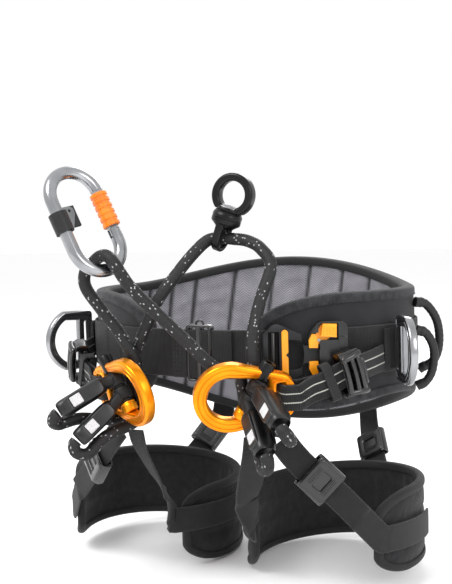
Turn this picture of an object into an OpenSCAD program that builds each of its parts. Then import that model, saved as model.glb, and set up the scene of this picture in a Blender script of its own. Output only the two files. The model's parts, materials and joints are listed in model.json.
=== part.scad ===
// Tree climbing saddle: padded waist belt, webbing buckle, gated side rings, two rope bridges,
// a swivel and a carabiner on the bridges, and two leg loops.
// +X is the wearer's left, -Y the front, +Z up. The origin is the centre of the waist opening
// at the middle of the waist webbing. Millimetres.

/* [Belt] */
// Half width of the waist opening, to the lining's inner face
waist_half_width = 158; // [156:1:160]
// Half depth of the waist opening, to the lining's inner face
waist_half_depth = 116; // [114:1:118]
// Thickness of the mesh lining pad
lining_thickness = 7; // [6:0.5:8]
// Thickness of the outer fabric shell
shell_thickness = 3.2; // [2.5:0.1:3.5]
// Height of the belt's top edge at the wings
wing_top = 54; // [52:1:56]
// Extra height of the top edge at the middle of the back
back_rise = 25; // [22:1:28]
// Extra depth of the bottom edge at the middle of the back
back_drop = 52; // [48:1:56]
// Width of the waist webbing
waist_webbing_width = 45; // [44:1:46]

/* [Straps] */
// Thickness of one layer of webbing
webbing_thickness = 2.4; // [2.2:0.1:2.6]
// Width of the side straps that hold the gated rings
side_strap_width = 25; // [24:1:26]
// Width of the leg loop straps
leg_strap_width = 25; // [22:1:26]

/* [Buckle] */
// Angle of the waist buckle across the front of the belt
buckle_angle = 28; // [27:1:29]
// Height of the buckle's casing
casing_height = 60; // [58:1:62]
// Length of the tongue plate
tongue_length = 41; // [40:1:42]

/* [Rings] */
// Thickness of the gated rings
ring_thickness = 11; // [10:0.5:11]
// Outer radius of a gated ring's bow
bow_radius = 32.5; // [32:0.5:33]
// Radius of the gate bar
bar_radius = 4.25; // [4:0.05:4.4]
// Radius of the gate bar's head
head_radius = 6.5; // [6:0.1:6.6]
// Thickness of the side D-rings
d_thickness = 8; // [7:0.5:9]
// Diameter of the bridge ropes
rope_diameter = 11; // [10.5:0.1:11.2]

/* [Connectors] */
// Radius of the swivel's barrel
barrel_radius = 14; // [13:0.5:15]
// Outer length of the carabiner
carabiner_length = 110; // [108:1:112]
// Outer width of the carabiner
carabiner_width = 62; // [60:1:64]
// Radius of the carabiner's bar
carabiner_bar = 6; // [5.5:0.5:6]

/* [Leg loops] */
// Height of a leg pad
leg_pad_height = 78; // [70:1:80]
// Thickness of a leg pad
leg_pad_thickness = 9; // [8:0.5:10]

/* [Hidden] */
$fn = 48;
gap = 0.3;          // clear space between layers and between pieces that turn
running = 0.06;     // radial clearance of a pin in its bore

// Layer positions, measured outwards from the lining's inner face
shell_from = lining_thickness + gap;
shell_to = shell_from + shell_thickness;
webbing_from = shell_to + gap;
webbing_to = webbing_from + webbing_thickness;
waist_lift = 0.65;                       // the waist webbing stands this far off its layer
waist_face = webbing_to + waist_lift;    // its outer face

// ---- general helpers ----

function unit(v) = v / norm(v);
function mix(a, b, t) = a + (b - a) * t;
function arc(cx, cy, r, from, to, steps = 10) =
    [for (i = [0:steps]) let (t = mix(from, to, i / steps)) [cx + r * cos(t), cy + r * sin(t)]];
function flip(points) = [for (p = points) [-p.x, p.y, p.z]];
function flat(lists) = [for (l = lists) for (p = l) p];

// A smooth curve through hand-placed points, with a given number of steps between them
function curve_point(a, b, c, d, t) =
    0.5 * (2 * b + (c - a) * t + (2 * a - 5 * b + 4 * c - d) * t * t
           + (3 * b - a - 3 * c + d) * t * t * t);
function curve(p, steps) =
    let (n = len(p), q = concat([2 * p[0] - p[1]], p, [2 * p[n - 1] - p[n - 2]]))
    concat([for (i = [0:n - 2]) for (k = [0:steps - 1])
        curve_point(q[i], q[i + 1], q[i + 2], q[i + 3], k / steps)], [p[n - 1]]);
function direction(p, i) = unit(p[min(i + 1, len(p) - 1)] - p[max(i - 1, 0)]);
function square_to(v, d) = unit(v - d * (v * d));

// A closed solid through equal rings of points
module loft(rings) {
    m = len(rings[0]);
    last = (len(rings) - 1) * m;
    polyhedron(
        points = flat(rings),
        faces = concat(
            [[for (j = [0:m - 1]) j]],
            [for (i = [0:len(rings) - 2]) for (j = [0:m - 1]) let (k = (j + 1) % m)
                for (f = [[i * m + j, (i + 1) * m + j, (i + 1) * m + k],
                          [i * m + j, (i + 1) * m + k, i * m + k]]) f],
            [[for (j = [0:m - 1]) last + m - 1 - j]]));
}

// Round tube along a path; the ring's frame is carried along without twist
module tube(p, r, sides = 10, start = [0, 0, 1]) {
    n = len(p);
    ups = [for (i = 0, u = square_to(start, direction(p, 0)); i < n;
                i = i + 1, u = square_to(u, direction(p, min(i, n - 1)))) u];
    loft([for (i = [0:n - 1]) let (d = direction(p, i), u = square_to(ups[i], d), s = cross(d, u))
        [for (j = [0:sides - 1]) p[i] + r * (cos(360 * j / sides) * u - sin(360 * j / sides) * s)]]);
}

module mirrored() {
    mirror([1, 0, 0]) children();
}

// ---- the belt's surface: around by angle (0 front, 90 the wearer's left), out by layer, up ----

function belt_point(angle, out, z) =
    [(waist_half_width + out) * sin(angle), -(waist_half_depth + out) * cos(angle), z];
function from_back(angle) = abs(angle - 180);
function wing_curve(angle, reach) =
    let (t = min(1, max(0, (from_back(angle) - reach) / (front_edge - reach)))) 1 - sqrt(1 - t * t);
front_edge = 161;    // the padding ends this far round from the back
top_reach = 128;     // the top edge turns down from here to the front edge
bottom_reach = 136;  // the bottom edge turns up from here to the front edge
wing_nose = 22;      // height left at the front edge after both turns
function belt_top(angle) =
    wing_top + back_rise * pow(cos(90 * min(1, from_back(angle) / 75)), 2)
    - (wing_top - wing_nose) * wing_curve(angle, top_reach);
function belt_bottom(angle) =
    -wing_top - back_drop * pow(cos(90 * min(1, from_back(angle) / 90)), 2)
    + 9 * pow(sin(2 * min(90, max(0, from_back(angle) - 60))), 2)
    + (wing_top - wing_nose) * wing_curve(angle, bottom_reach);
pad_angles = [for (i = [0:88]) mix(180 - front_edge, 180 + front_edge, i / 88)];

// A layer of the belt between two distances out and two heights, all around the padding
module belt_layer(from, to, angles, low, high) {
    loft([for (i = [0:len(angles) - 1]) let (a = angles[i])
        [belt_point(a, from, low[i]), belt_point(a, to, low[i]),
         belt_point(a, to, high[i]), belt_point(a, from, high[i])]]);
}
edge = 1.3;         // the binding's thickness over a raw edge
binding = 9;        // width of the binding tape on each face

module belt_lining_pad() {
    color("darkgray")
    belt_layer(0, lining_thickness, pad_angles,
        [for (a = pad_angles) belt_bottom(a) + edge], [for (a = pad_angles) belt_top(a) - edge]);
}
module belt_outer_shell() {
    color("dimgray")
    belt_layer(shell_from, shell_to, pad_angles,
        [for (a = pad_angles) belt_bottom(a) + edge], [for (a = pad_angles) belt_top(a) - edge]);
}
// Folded tape: a channel over both layers' raw edges
module belt_binding(high) {
    loft([for (a = pad_angles)
        let (s = high ? -1 : 1, e = high ? belt_top(a) : belt_bottom(a),
             w = min(binding, (belt_top(a) - belt_bottom(a)) / 2 - 2),
             ring = [[-0.9, 0], [shell_to + 0.9, 0], [shell_to + 0.9, w], [shell_to + 0.15, w],
                     [shell_to + 0.15, edge - 0.15], [-0.15, edge - 0.15], [-0.15, w], [-0.9, w]],
             points = [for (q = ring) belt_point(a, q.x, e + s * q.y)])
        high ? [for (j = [7:-1:0]) points[j]] : points]);
}
module belt_binding_top() {
    color("black") belt_binding(true);
}
module belt_binding_bottom() {
    color("black") belt_binding(false);
}

// Waist webbing: from the front of one wing, round the back, to the buckle's casing
webbing_angles = [for (i = [0:80]) mix(42, 327.2, i / 80)];
module waist_webbing() {
    color([0.12, 0.12, 0.13])
    belt_layer(webbing_from + waist_lift, waist_face, webbing_angles,
        [for (a = webbing_angles) -waist_webbing_width / 2],
        [for (a = webbing_angles) waist_webbing_width / 2]);
}

// ---- side D-rings ----

d_angle = 72;       // where the D-rings sit round the belt
d_bar = 3;          // radius of the bar in the webbing tab
d_depth = 52;       // from the bar to the far side of the bow
d_half = 34;        // half the height of the bow
d_bow = 9;          // width of the bow
d_rest = -60;       // direction of the bow in plan at rest
d_surface = belt_point(d_angle, waist_face, 0);
d_out = unit([(waist_half_depth + webbing_to) * sin(d_angle),
              -(waist_half_width + webbing_to) * cos(d_angle), 0]);
d_pivot = d_surface + d_out * 6.2;
d_inner = d_depth - d_half;   // centre of the bow's arc

module d_outline() {
    polygon(concat(arc(d_inner, 0, d_half, -66, 66, 24),
                   arc(4, 26, 5, 90, 180), arc(4, -26, 5, 180, 270)));
}
module d_ring() {
    translate(d_pivot) rotate([90, 0, d_rest]) {
        translate([0, 0, -d_thickness / 2]) linear_extrude(d_thickness) difference() {
            d_outline();
            polygon(concat(arc(d_inner, 0, d_half - d_bow, -60, 60, 20), [[16, 21], [16, -21]]));
            translate([-3, -22]) square([12, 44]);
        }
        rotate([-90, 0, 0]) cylinder(r = d_bar, h = 50, center = true);
    }
}
module d_ring_right() {
    color("silver") d_ring();
}
module d_ring_left() {
    color("silver") mirrored() d_ring();
}
// Webbing tab: a loop round the D-ring's bar, sewn down flat on the waist webbing
module d_tab() {
    plate = atan2(d_out.y, d_out.x);
    inner = d_bar + 0.5;
    outer = inner + 1.6;
    translate([d_pivot.x, d_pivot.y, -19]) rotate([0, 0, plate])
    linear_extrude(38) difference() {
        union() {
            circle(outer);
            translate([-5.9, -13]) square([1.5, 26]);
            translate([-5, -outer]) square([5, 2 * outer]);
        }
        circle(inner);
        translate([-5, -inner + 1]) square([5, 2 * inner - 2]);
    }
}
module d_ring_tabs() {
    color("black") d_tab();
    color("black") mirrored() d_tab();
}

// ---- gated side rings: a flat frame with u outboard, w up in the ring's plane, v outwards ----

ring_turn = 30;     // the ring's plane turns this far from the front
ring_lean = 15;     // and leans this far outwards at the top
ring_at = [93, -140.5, -32.6];
ring_u = [cos(ring_turn), sin(ring_turn), 0];
ring_v = [sin(ring_turn) * cos(ring_lean), -cos(ring_turn) * cos(ring_lean), -sin(ring_lean)];
ring_w = [sin(ring_turn) * sin(ring_lean), -cos(ring_turn) * sin(ring_lean), cos(ring_lean)];
function ring_point(u, v, w) = ring_at + ring_u * u + ring_v * v + ring_w * w;
module in_ring_plane() {   // x to u, y to w, z to v
    multmatrix([[ring_u.x, ring_w.x, ring_v.x, ring_at.x],
                [ring_u.y, ring_w.y, ring_v.y, ring_at.y],
                [ring_u.z, ring_w.z, ring_v.z, ring_at.z],
                [0, 0, 0, 1]]) children();
}
bow_at = -50;       // centre of the bow's arc
bow_inner = 20;
pivot_radius = 4.5; // radius of the bar in the side strap's loop
bar_from = [-39.5, -17.6];
bar_to = [-18, 26];
bar_length = norm(bar_to - bar_from);
bar_lean = atan2(bar_to.x - bar_from.x, bar_to.y - bar_from.y);
module on_bar(s) {         // z along the gate bar, from its lower end
    in_ring_plane() translate([bar_from.x, bar_from.y, 0])
    rotate([0, 0, -bar_lean]) rotate([-90, 0, 0]) translate([0, 0, s]) children();
}
function ring_outline(inset) = concat(
    arc(bow_at, 0, bow_radius - inset, 75, 280, 36),
    arc(-5, -12, 10 - inset, 280, 360, 8), arc(-5, 12, 10 - inset, 0, 75, 8));
function ring_lobe(grow) = concat(
    arc(bow_at, 0, bow_inner + grow, 80, 280, 30),
    [[-16 + grow, -18 - grow], [-16 + grow, 18 + grow]]);

module ring_body() {
    in_ring_plane() difference() {
        union() {
            for (layer = [[0, 5], [0.7, 8.5], [2, ring_thickness]])
                translate([0, 0, -layer[1] / 2]) linear_extrude(layer[1]) difference() {
                    polygon(ring_outline(layer[0]));
                    polygon(ring_lobe(layer[0]));
                    translate([-9 - layer[0] / 2, -14]) square([20, 28]);
                }
            rotate([-90, 0, 0]) cylinder(r = pivot_radius, h = 30, center = true);
            translate([bar_from.x, bar_from.y, 0]) rotate([0, 0, -bar_lean]) rotate([-90, 0, 0])
                translate([0, 0, -2]) cylinder(r = 6.8, h = 8);
        }
        translate([bar_from.x, bar_from.y, 0]) rotate([0, 0, -bar_lean]) rotate([-90, 0, 0]) {
            cylinder(r = bar_radius + running, h = 20);
            translate([0, 0, 38]) cylinder(r = head_radius + running, h = 40);
        }
    }
}
module gate_bar() {
    on_bar(gap) difference() {
        union() {
            cylinder(r = bar_radius, h = 40);
            translate([0, 0, 38.5]) cylinder(r = head_radius, h = 16.5);
        }
        translate([0, 0, 50]) cylinder(r = 2.9, h = 6, $fn = 6);
    }
}
module bar_spacers() {
    for (s = [7.6, 22.2, 35.9])
        on_bar(s) difference() {
            cylinder(r = 6, h = 1.6);
            translate([0, 0, -1]) cylinder(r = bar_radius + gap, h = 4);
        }
}
module ring_body_right() {
    color("goldenrod") ring_body();
}
module ring_body_left() {
    color("goldenrod") mirrored() ring_body();
}
module gate_bar_right() {
    color("black") gate_bar();
}
module gate_bar_left() {
    color("black") mirrored() gate_bar();
}
module bar_spacers_right() {
    color("black") bar_spacers();
}
module bar_spacers_left() {
    color("black") mirrored() bar_spacers();
}

// Rope ends: a sewn eye round the bar, then a moulded cover. Each entry: height along the bar,
// then the cover's near and far end in the ring's frame
eye_thick = 11;
eye_radius = 8.4;
neck_thick = 7;
rope_ends = [
    [30, [-23, 10, 9.5], [-13, 57, -1]],
    [16, [-31, 11, -10], [-25, 52, -29]]];
cover_width = 20;
module along(a, b) {       // z from a towards b, x kept across the gate bar
    z = unit(b - a);
    across = unit([cos(bar_lean), 0, -sin(bar_lean)]);
    x = square_to(across, z);
    y = cross(z, x);
    multmatrix([[x.x, y.x, z.x, a.x], [x.y, y.y, z.y, a.y], [x.z, y.z, z.z, a.z], [0, 0, 0, 1]])
        children();
}
// The ring's frame written as x = u, y = v, z = w
module in_ring_frame() {
    multmatrix([[ring_u.x, ring_v.x, ring_w.x, ring_at.x],
                [ring_u.y, ring_v.y, ring_w.y, ring_at.y],
                [ring_u.z, ring_v.z, ring_w.z, ring_at.z],
                [0, 0, 0, 1]]) children();
}
module rope_eyes() {
    for (e = rope_ends)
        difference() {
            union() {
                on_bar(e[0] - eye_thick / 2) cylinder(r = eye_radius, h = eye_thick);
                in_ring_frame() along(bar_center(e[0]), e[1] - gap * unit(e[2] - e[1]))
                    translate([-eye_radius, -neck_thick / 2, 0])
                    cube([2 * eye_radius, neck_thick, norm(e[1] - bar_center(e[0])) - gap]);
            }
            on_bar(-1) cylinder(r = bar_radius + 0.4, h = 60);
            in_ring_frame() along(e[1], e[2]) translate([-20, -20, -gap]) cube([40, 40, 40]);
        }
}
function bar_center(s) = let (t = s / bar_length, p = mix(bar_from, bar_to, t)) [p.x, 0, p.y];
function rounded(x, y, r) = concat(
    arc(x / 2 - r, y / 2 - r, r, 0, 90, 6), arc(-x / 2 + r, y / 2 - r, r, 90, 180, 6),
    arc(-x / 2 + r, -y / 2 + r, r, 180, 270, 6), arc(x / 2 - r, -y / 2 + r, r, 270, 360, 6));
module rounded_bar(x, y, r, h) {
    linear_extrude(h)
    polygon(rounded(x, y, r));
}
label_share = 0.64; // place of the label's window along the cover
module rope_covers() {
    for (e = rope_ends) {
        length = norm(e[2] - e[1]);
        in_ring_frame() along(e[1], e[2]) difference() {
            rounded_bar(cover_width, cover_width - 2, 6, length);
            for (side = [-1, 1])
                translate([side * cover_width / 2, 0, length * label_share])
                cube([2.4, 10.6, 11.6], center = true);
        }
    }
}
module cover_labels() {
    for (e = rope_ends) {
        length = norm(e[2] - e[1]);
        for (side = [-1, 1])
            in_ring_frame() along(e[1], e[2])
            translate([side * (cover_width / 2 - 0.8), 0, length * label_share])
            cube([0.6, 10, 11], center = true);
    }
}
module rope_eyes_right() {
    color("black") rope_eyes();
}
module rope_eyes_left() {
    color("black") mirrored() rope_eyes();
}
module rope_covers_right() {
    color([0.15, 0.15, 0.16]) rope_covers();
}
module rope_covers_left() {
    color([0.15, 0.15, 0.16]) mirrored() rope_covers();
}
module cover_labels_right() {
    color("white") cover_labels();
}
module cover_labels_left() {
    color("white") mirrored() cover_labels();
}

// ---- side straps: sewn to the belt, through the adjuster, round the ring's bar and back ----

function ramp(list, n) = [for (i = [0:n - 1])
    let (t = i / (n - 1) * (len(list) - 1), k = min(floor(t), len(list) - 2))
    mix(list[k], list[k + 1], t - k)];
module ribbon(p, width, thick, wides) {
    n = len(p);
    ws = ramp(wides, n);
    loft([for (i = [0:n - 1])
        let (d = direction(p, i), w = square_to(ws[i], d) * width / 2, t = unit(cross(d, w)) * thick / 2)
        [p[i] + w + t, p[i] + w - t, p[i] - w - t, p[i] - w + t]]);
}
up = [0, 0, 1];
loop_radius = pivot_radius + 1.9;
side_rear = [[157, -57, -8], [153, -76, -10], [145, -97, -13], [132, -112, -19], [119, -121, -26]];
side_front = [[115, -131, -28], [125, -124, -24], [136, -114, -17], [147, -100, -12]];
side_path = concat(
    curve(concat(side_rear, [ring_point(12, -5.5, 0)]), 2),
    [for (p = arc(0, 0, loop_radius, 270, 90, 8)) ring_point(p.x, p.y, 0)],
    curve(concat([ring_point(12, 5.8, 0)], side_front), 2));
module side_strap() {
    ribbon(side_path, side_strap_width, webbing_thickness, [up, ring_w, ring_w, up]);
}
module side_strap_right() {
    color("black") side_strap();
}
module side_strap_left() {
    color("black") mirrored() side_strap();
}
// Frame with a tunnel for the two layers of strap; x along the strap, y up, z outwards
module strap_frame(long, tall, deep, tunnel) {
    difference() {
        translate([0, 0, -deep / 2]) linear_extrude(deep)
            polygon(rounded(long, tall - 4, 4));
        cube([2 * long, side_strap_width + 5, tunnel], center = true);
    }
}
// x along the strap, z outwards: turned in plan, then leaning along the strap
module standing(at, turn, lean) {
    translate(at) rotate([0, 0, turn]) rotate([0, lean, 0]) rotate([90, 0, 0]) children();
}
module strap_buckle() {
    standing([141.1, -106.4, -15.6], 49, -15) strap_frame(20, 46, 14.6, 12.2);
}
module strap_buckle_right() {
    color([0.13, 0.13, 0.14]) strap_buckle();
}
module strap_buckle_left() {
    color([0.13, 0.13, 0.14]) mirrored() strap_buckle();
}
module strap_keeper() {
    standing([126, -119, -22.8], 37, -20) strap_frame(9, 42, 15.4, 12.6);
}
module strap_keepers() {
    color("black") strap_keeper();
    color("black") mirrored() strap_keeper();
}

// ---- gear loops: moulded tube, two on each side ----

loop_tube = 4.4;
gear_routes = [
    [[172, 2, 39], [181, 10, 36], [189, 19, 20], [190, 25, -2], [184, 28, -20], [169, 27, -30]],
    [[176, -9, 13], [185, -5, 9], [190, 2, -6], [188, 5, -26], [182, 4, -38], [173, 2, -43]]];
module gear_loops() {
    for (r = gear_routes) tube(curve(r, 3), loop_tube, 8, [0, 1, 0]);
}
module gear_loops_right() {
    color("black") gear_loops();
}
module gear_loops_left() {
    color("black") mirrored() gear_loops();
}

// ---- waist buckle: x along the belt to the right, y up, z outwards from the casing's back ----

buckle_out = [sin(buckle_angle), -cos(buckle_angle), 0];
buckle_along = [cos(buckle_angle), sin(buckle_angle), 0];
belt_reach = norm([(waist_half_width + waist_face) * buckle_out.x,
                   (waist_half_depth + waist_face) * buckle_out.y]);
buckle_at = buckle_out * (belt_reach + 0.4) + buckle_along * 39.9;
module in_buckle() {
    translate(buckle_at) rotate([0, 0, buckle_angle]) rotate([90, 0, 0]) children();
}
casing_length = 35;
casing_thick = 11;
half = casing_height / 2;
lever_pivot = [9, 13];
lever_pin = 1.5;     // radius of the buckle's lever pins and of the carabiner's gate pin
blade_half = 9;
module casing_outline() {
    polygon(concat([[0, -15], [0, 15], [4, 24]], arc(12, half - 6, 6, 140, 90, 5),
                   arc(casing_length - 7, half - 7, 7, 90, 0, 6),
                   arc(casing_length - 7, -half + 7, 7, 0, -90, 6),
                   arc(12, -half + 6, 6, -90, -140, 5), [[4, -24]]));
}
module both_levers() {
    children();
    mirror([0, 1, 0]) children();
}
module buckle_housing() {
    color([0.14, 0.14, 0.15])
    in_buckle() difference() {
        union() {
            linear_extrude(casing_thick - 1) casing_outline();
            translate([0, 0, casing_thick - 1]) linear_extrude(1) offset(delta = -1) casing_outline();
        }
        translate([-1, -blade_half - 0.5, 1.2]) cube([19, 2 * blade_half + 1, 3.7]);
        both_levers() {
            translate([-1, 4.5, 4.9]) cube([28, half - 6.5, 4]);
            translate([-1, 4.5, 4.8]) cube([10.5, 15.5, 10]);
            translate([8.4, 13.2, 4.9]) cube([18, half - 14.8, 10]);
            translate([lever_pivot.x, lever_pivot.y, 0.6])
                cylinder(r = lever_pin + running, h = 30);
        }
        translate([-1, -5, 4.8]) cube([10, 10, 10]);
    }
}
module lever_pins() {
    color("silver")
    in_buckle() both_levers() translate([lever_pivot.x, lever_pivot.y, 0.8]) cylinder(r = lever_pin, h = 8.2);
}
module lever() {
    in_buckle() difference() {
        union() {
            translate([0, 0, 5.2]) linear_extrude(3.2)
                polygon([[0.2, 6.2], [8, 6], [8.6, 12], [7, 18.4], [3, 18.6], [0, 13]]);
            translate([0, 0, 5.2]) linear_extrude(2)
                polygon([[6, 9], [13, 10], [20, 16], [24.5, 17],
                         [24.5, half - 2.2], [12, half - 2.2], [6, 17]]);
            translate([0, 0, 7]) linear_extrude(5.6)
                polygon([[10.4, 17], [24.4, 15.6], [24.6, half - 2.4], [12.4, half - 1.8]]);
        }
        translate([lever_pivot.x, lever_pivot.y, 0]) cylinder(r = lever_pin + running, h = 30);
    }
}
module lever_upper() {
    color("orange") lever();
}
module lever_lower() {
    color("orange") mirror([0, 0, 1]) lever();
}

// Tongue: D-shaped plate with a webbing slot, a window and a blade that enters the casing
plate_thick = 3;
plate_from = 1.55;   // distance of the plate's back from the casing's back
module buckle_tongue() {
    color("dimgray")
    in_buckle() translate([0, 0, plate_from]) linear_extrude(plate_thick) difference() {
        polygon(concat(
            arc(-tongue_length + 3, 18, 3, 180, 130, 4), arc(-29, 19, 9, 120, 60, 6), [[-6, 18]],
            arc(-12, 0, 11.6, 60, -60, 8), [[-6, -18]],
            arc(-29, -19, 9, -60, -120, 6), arc(-tongue_length + 3, -18, 3, 230, 180, 4)));
        translate([-36.5, -21]) square([10, 42]);
        polygon([[-18, -13.5], [-18, 13.5], [-8, 13], [-5, 8], [-4, 0], [-5, -8], [-8, -13]]);
    }
    color("dimgray")
    in_buckle() translate([0, 0, plate_from]) linear_extrude(plate_thick)
        polygon(concat([[-3.2, -8]], [[-3.2, 8]], arc(14 - 4, blade_half - 4, 4, 90, 0, 5),
                       arc(14 - 4, -blade_half + 4, 4, 0, -90, 5)));
}
module tongue_roller() {
    color([0.1, 0.1, 0.1])
    in_buckle() translate([-32.3, 0, 3.1]) rotate([90, 0, 0]) cylinder(r = 2.6, h = 41, center = true);
}
module tongue_tab() {
    color("orange")
    in_buckle() translate([0, 0, plate_from + plate_thick + 0.05]) linear_extrude(2)
        polygon(concat(arc(-21.5, 20, 3, 180, 0, 8), [[-18.5, 2.4], [-20.8, 0], [-18.5, -2.4]],
                       arc(-21.5, -20, 3, 0, -180, 8)));
}
// Front webbing: from the left wing across to the tongue
front_from = 327.6 - 360;
front_layer = shell_to + 1.4;
front_route = concat(
    [for (i = [0:24]) belt_point(mix(front_from, 12, i / 24), front_layer + webbing_thickness / 2, 0)],
    [[50, -124.6, 0], [62, -121.8, 0], [76, -117.6, 0]]);
module front_webbing() {
    color([0.12, 0.12, 0.13])
    ribbon(front_route, waist_webbing_width, webbing_thickness, [up, up]);
}
slider_angle = 1.4;
slider_width = 26;
module waist_slider() {
    color([0.1, 0.1, 0.1])
    translate(belt_point(slider_angle, front_layer + webbing_thickness / 2, 1)) difference() {
        union() {
            cube([slider_width, 8, 53], center = true);
            translate([0, 0, 26]) rotate([90, 0, 0]) rotate_extrude() translate([4, 0]) circle(r = 1);
        }
        cube([slider_width + 2, webbing_thickness + 2, waist_webbing_width + 3], center = true);
    }
}

// ---- rope bridges: each rope from an eye on one ring to the other ----

upper_end = [
    [110, -196.5, -50], [113, -198, -53], [116, -195, -59], [115, -188, -62], [112, -183, -61],
    [103, -171, -59], [91, -154, -62], [81, -140, -64], [72, -134, -59], [65, -133, -44], [65, -138, -26],
    [64, -145, -7]];
lower_end = [
    [94, -191.5, -75.5], [96, -193, -79], [95, -191, -86], [90, -186, -89], [86, -181, -87], [77, -169, -75],
    [65, -149, -68], [58, -141, -62], [53, -139, -48], [53, -145, -28], [51, -152, -9]];
swivel_route = concat(
    flip(upper_end),
    [[-56, -146, 1], [-47, -148, 16], [-31, -144, 50], [-17, -131, 74], [-6, -118, 92], [5, -109, 104],
     [17, -105, 106],
     [30, -105, 105], [45, -107, 103], [60, -112, 96], [72, -118, 80], [66, -130, 50], [62, -141, 18]],
    reverse(upper_end));
carabiner_route = concat(
    flip(lower_end),
    [[-52, -158, 2], [-65, -162, 25], [-79, -167, 45], [-91, -171, 64], [-90, -173, 78],
     [-80, -175, 87], [-67, -180, 93.5], [-53, -187, 90],
     [-38, -182, 66], [-16, -175, 42], [8, -168, 18], [34, -160, -8]],
    reverse(lower_end));
function reverse(p) = [for (i = [len(p) - 1:-1:0]) p[i]];
module rope_bridge_swivel() {
    color("black") tube(swivel_route, rope_diameter / 2);
}
module rope_bridge_carabiner() {
    color("black") tube(carabiner_route, rope_diameter / 2);
}

// ---- swivel: lower eye with a barrel, upper eye on an axle that turns in a bearing ----

swivel_at = [17, -105, 106];
swivel_lean = 19.5;
module in_swivel() {
    translate(swivel_at) rotate([0, swivel_lean, 0]) children();
}
rope_hole = 8.9;      // radius of the lower eye's hole
axle_radius = 5;
eye_height = 42;      // centre of the upper eye above the rope
eye_outer = 20.5;
eye_inner = 13;
head_dome = 8;        // radius of the axle's domed head
module swivel_fork() {
    color([0.15, 0.15, 0.16])
    in_swivel() difference() {
        union() {
            rotate([0, 90, 0]) cylinder(r = 12.5, h = 8, center = true);
            translate([-4, -12.5, 0]) cube([8, 25, 13]);
            translate([0, 0, 10]) cylinder(r1 = 9, r2 = barrel_radius, h = 5);
            translate([0, 0, 15]) cylinder(r = barrel_radius, h = 9);
            translate([0, 0, 24]) cylinder(r1 = barrel_radius, r2 = barrel_radius - 2, h = 2);
        }
        rotate([0, 90, 0]) cylinder(r = rope_hole, h = 40, center = true);
        translate([0, 0, 14]) cylinder(r = 9, h = 9.6);
        translate([0, 0, 20]) cylinder(r = axle_radius + running, h = 10);
    }
}
module swivel_bearing() {
    color("silver")
    in_swivel() translate([0, 0, 15.4]) difference() {
        cylinder(r = 8.9, h = 7.8);
        translate([0, 0, -1]) cylinder(r = axle_radius + running, h = 12);
    }
}
module swivel_eye() {
    color([0.15, 0.15, 0.16])
    in_swivel() difference() {
        union() {
            translate([0, 0, 26.4]) cylinder(r = 11.5, h = 4);
            translate([0, 0, eye_height]) rotate([90, 0, 0]) rotate_extrude()
                translate([(eye_outer + eye_inner) / 2, 0])
                polygon(concat(arc(1.2, 3.4, 2.6, 0, 90, 5), arc(-1.2, 3.4, 2.6, 90, 180, 5),
                               arc(-1.2, -3.4, 2.6, 180, 270, 5), arc(1.2, -3.4, 2.6, 270, 360, 5)));
        }
        translate([0, 0, 20]) cylinder(r = axle_radius + running, h = 20);
        translate([0, 0, 28]) cylinder(r = head_dome + 0.2, h = 20);
        translate([0, 0, 6.4]) cylinder(r = 30, h = 20);
    }
}
module swivel_axle() {
    color("lightgray")
    in_swivel() {
        translate([0, 0, 15.6]) cylinder(r = axle_radius, h = 13);
        intersection() {
            translate([0, 0, 28.2]) cylinder(r = head_dome, h = 8);
            translate([0, 0, 21.4]) sphere(r = 12);
        }
    }
}

// ---- carabiner: x across, z along, y through it ----

carabiner_at = [-83, -180, 124.9];
carabiner_up = unit([-0.43, 0, 0.903]);
carabiner_across = square_to([0.454, 0.891, 0], carabiner_up);
carabiner_through = cross(carabiner_up, carabiner_across);
module in_carabiner() {
    multmatrix([[carabiner_across.x, carabiner_through.x, carabiner_up.x, carabiner_at.x],
                [carabiner_across.y, carabiner_through.y, carabiner_up.y, carabiner_at.y],
                [carabiner_across.z, carabiner_through.z, carabiner_up.z, carabiner_at.z],
                [0, 0, 0, 1]]) children();
}
turn_radius = carabiner_width / 2 - carabiner_bar;       // centre line of the end bends
straight = carabiner_length / 2 - carabiner_width / 2;   // half the straight side
gate_foot = -straight + 8;    // height of the gate's pin
module carabiner_end() {
    rotate([90, 0, 0]) rotate_extrude(angle = 180) translate([turn_radius, 0]) circle(carabiner_bar);
}
module carabiner_body() {
    color("silver")
    in_carabiner() difference() {
        union() {
            translate([0, 0, straight]) carabiner_end();
            translate([0, 0, -straight]) mirror([0, 0, 1]) carabiner_end();
            translate([-turn_radius, 0, -straight]) cylinder(r = carabiner_bar, h = 2 * straight);
            translate([turn_radius, 0, -straight]) cylinder(r = carabiner_bar, h = 11);
        }
        translate([turn_radius - 8, -2.3, gate_foot - 5.5]) cube([16, 4.6, 20]);
        translate([turn_radius, 0, gate_foot]) rotate([90, 0, 0])
            cylinder(r = lever_pin + running, h = 30, center = true);
        translate([turn_radius - 8, -8, straight - 0.01]) cube([16, 16, 1.2]);
    }
}
module gate_pin() {
    color("gray")
    in_carabiner() translate([turn_radius, 0, gate_foot]) rotate([90, 0, 0])
        cylinder(r = lever_pin, h = 11, center = true);
}
module carabiner_gate() {
    color("silver")
    in_carabiner() difference() {
        union() {
            translate([turn_radius, 0, gate_foot + 5.1]) cylinder(r = 5, h = straight - gate_foot - 5.6);
            intersection() {
                translate([turn_radius - 4.4, -2, gate_foot - 4]) cube([8.8, 4, 10]);
                translate([turn_radius, 0, gate_foot - 4]) cylinder(r = 5, h = 12);
            }
        }
        translate([turn_radius, 0, gate_foot]) rotate([90, 0, 0])
            cylinder(r = lever_pin + running, h = 30, center = true);
    }
}
sleeve_low = gate_foot + 5.2;
sleeve_high = straight - 1.2;
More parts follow.
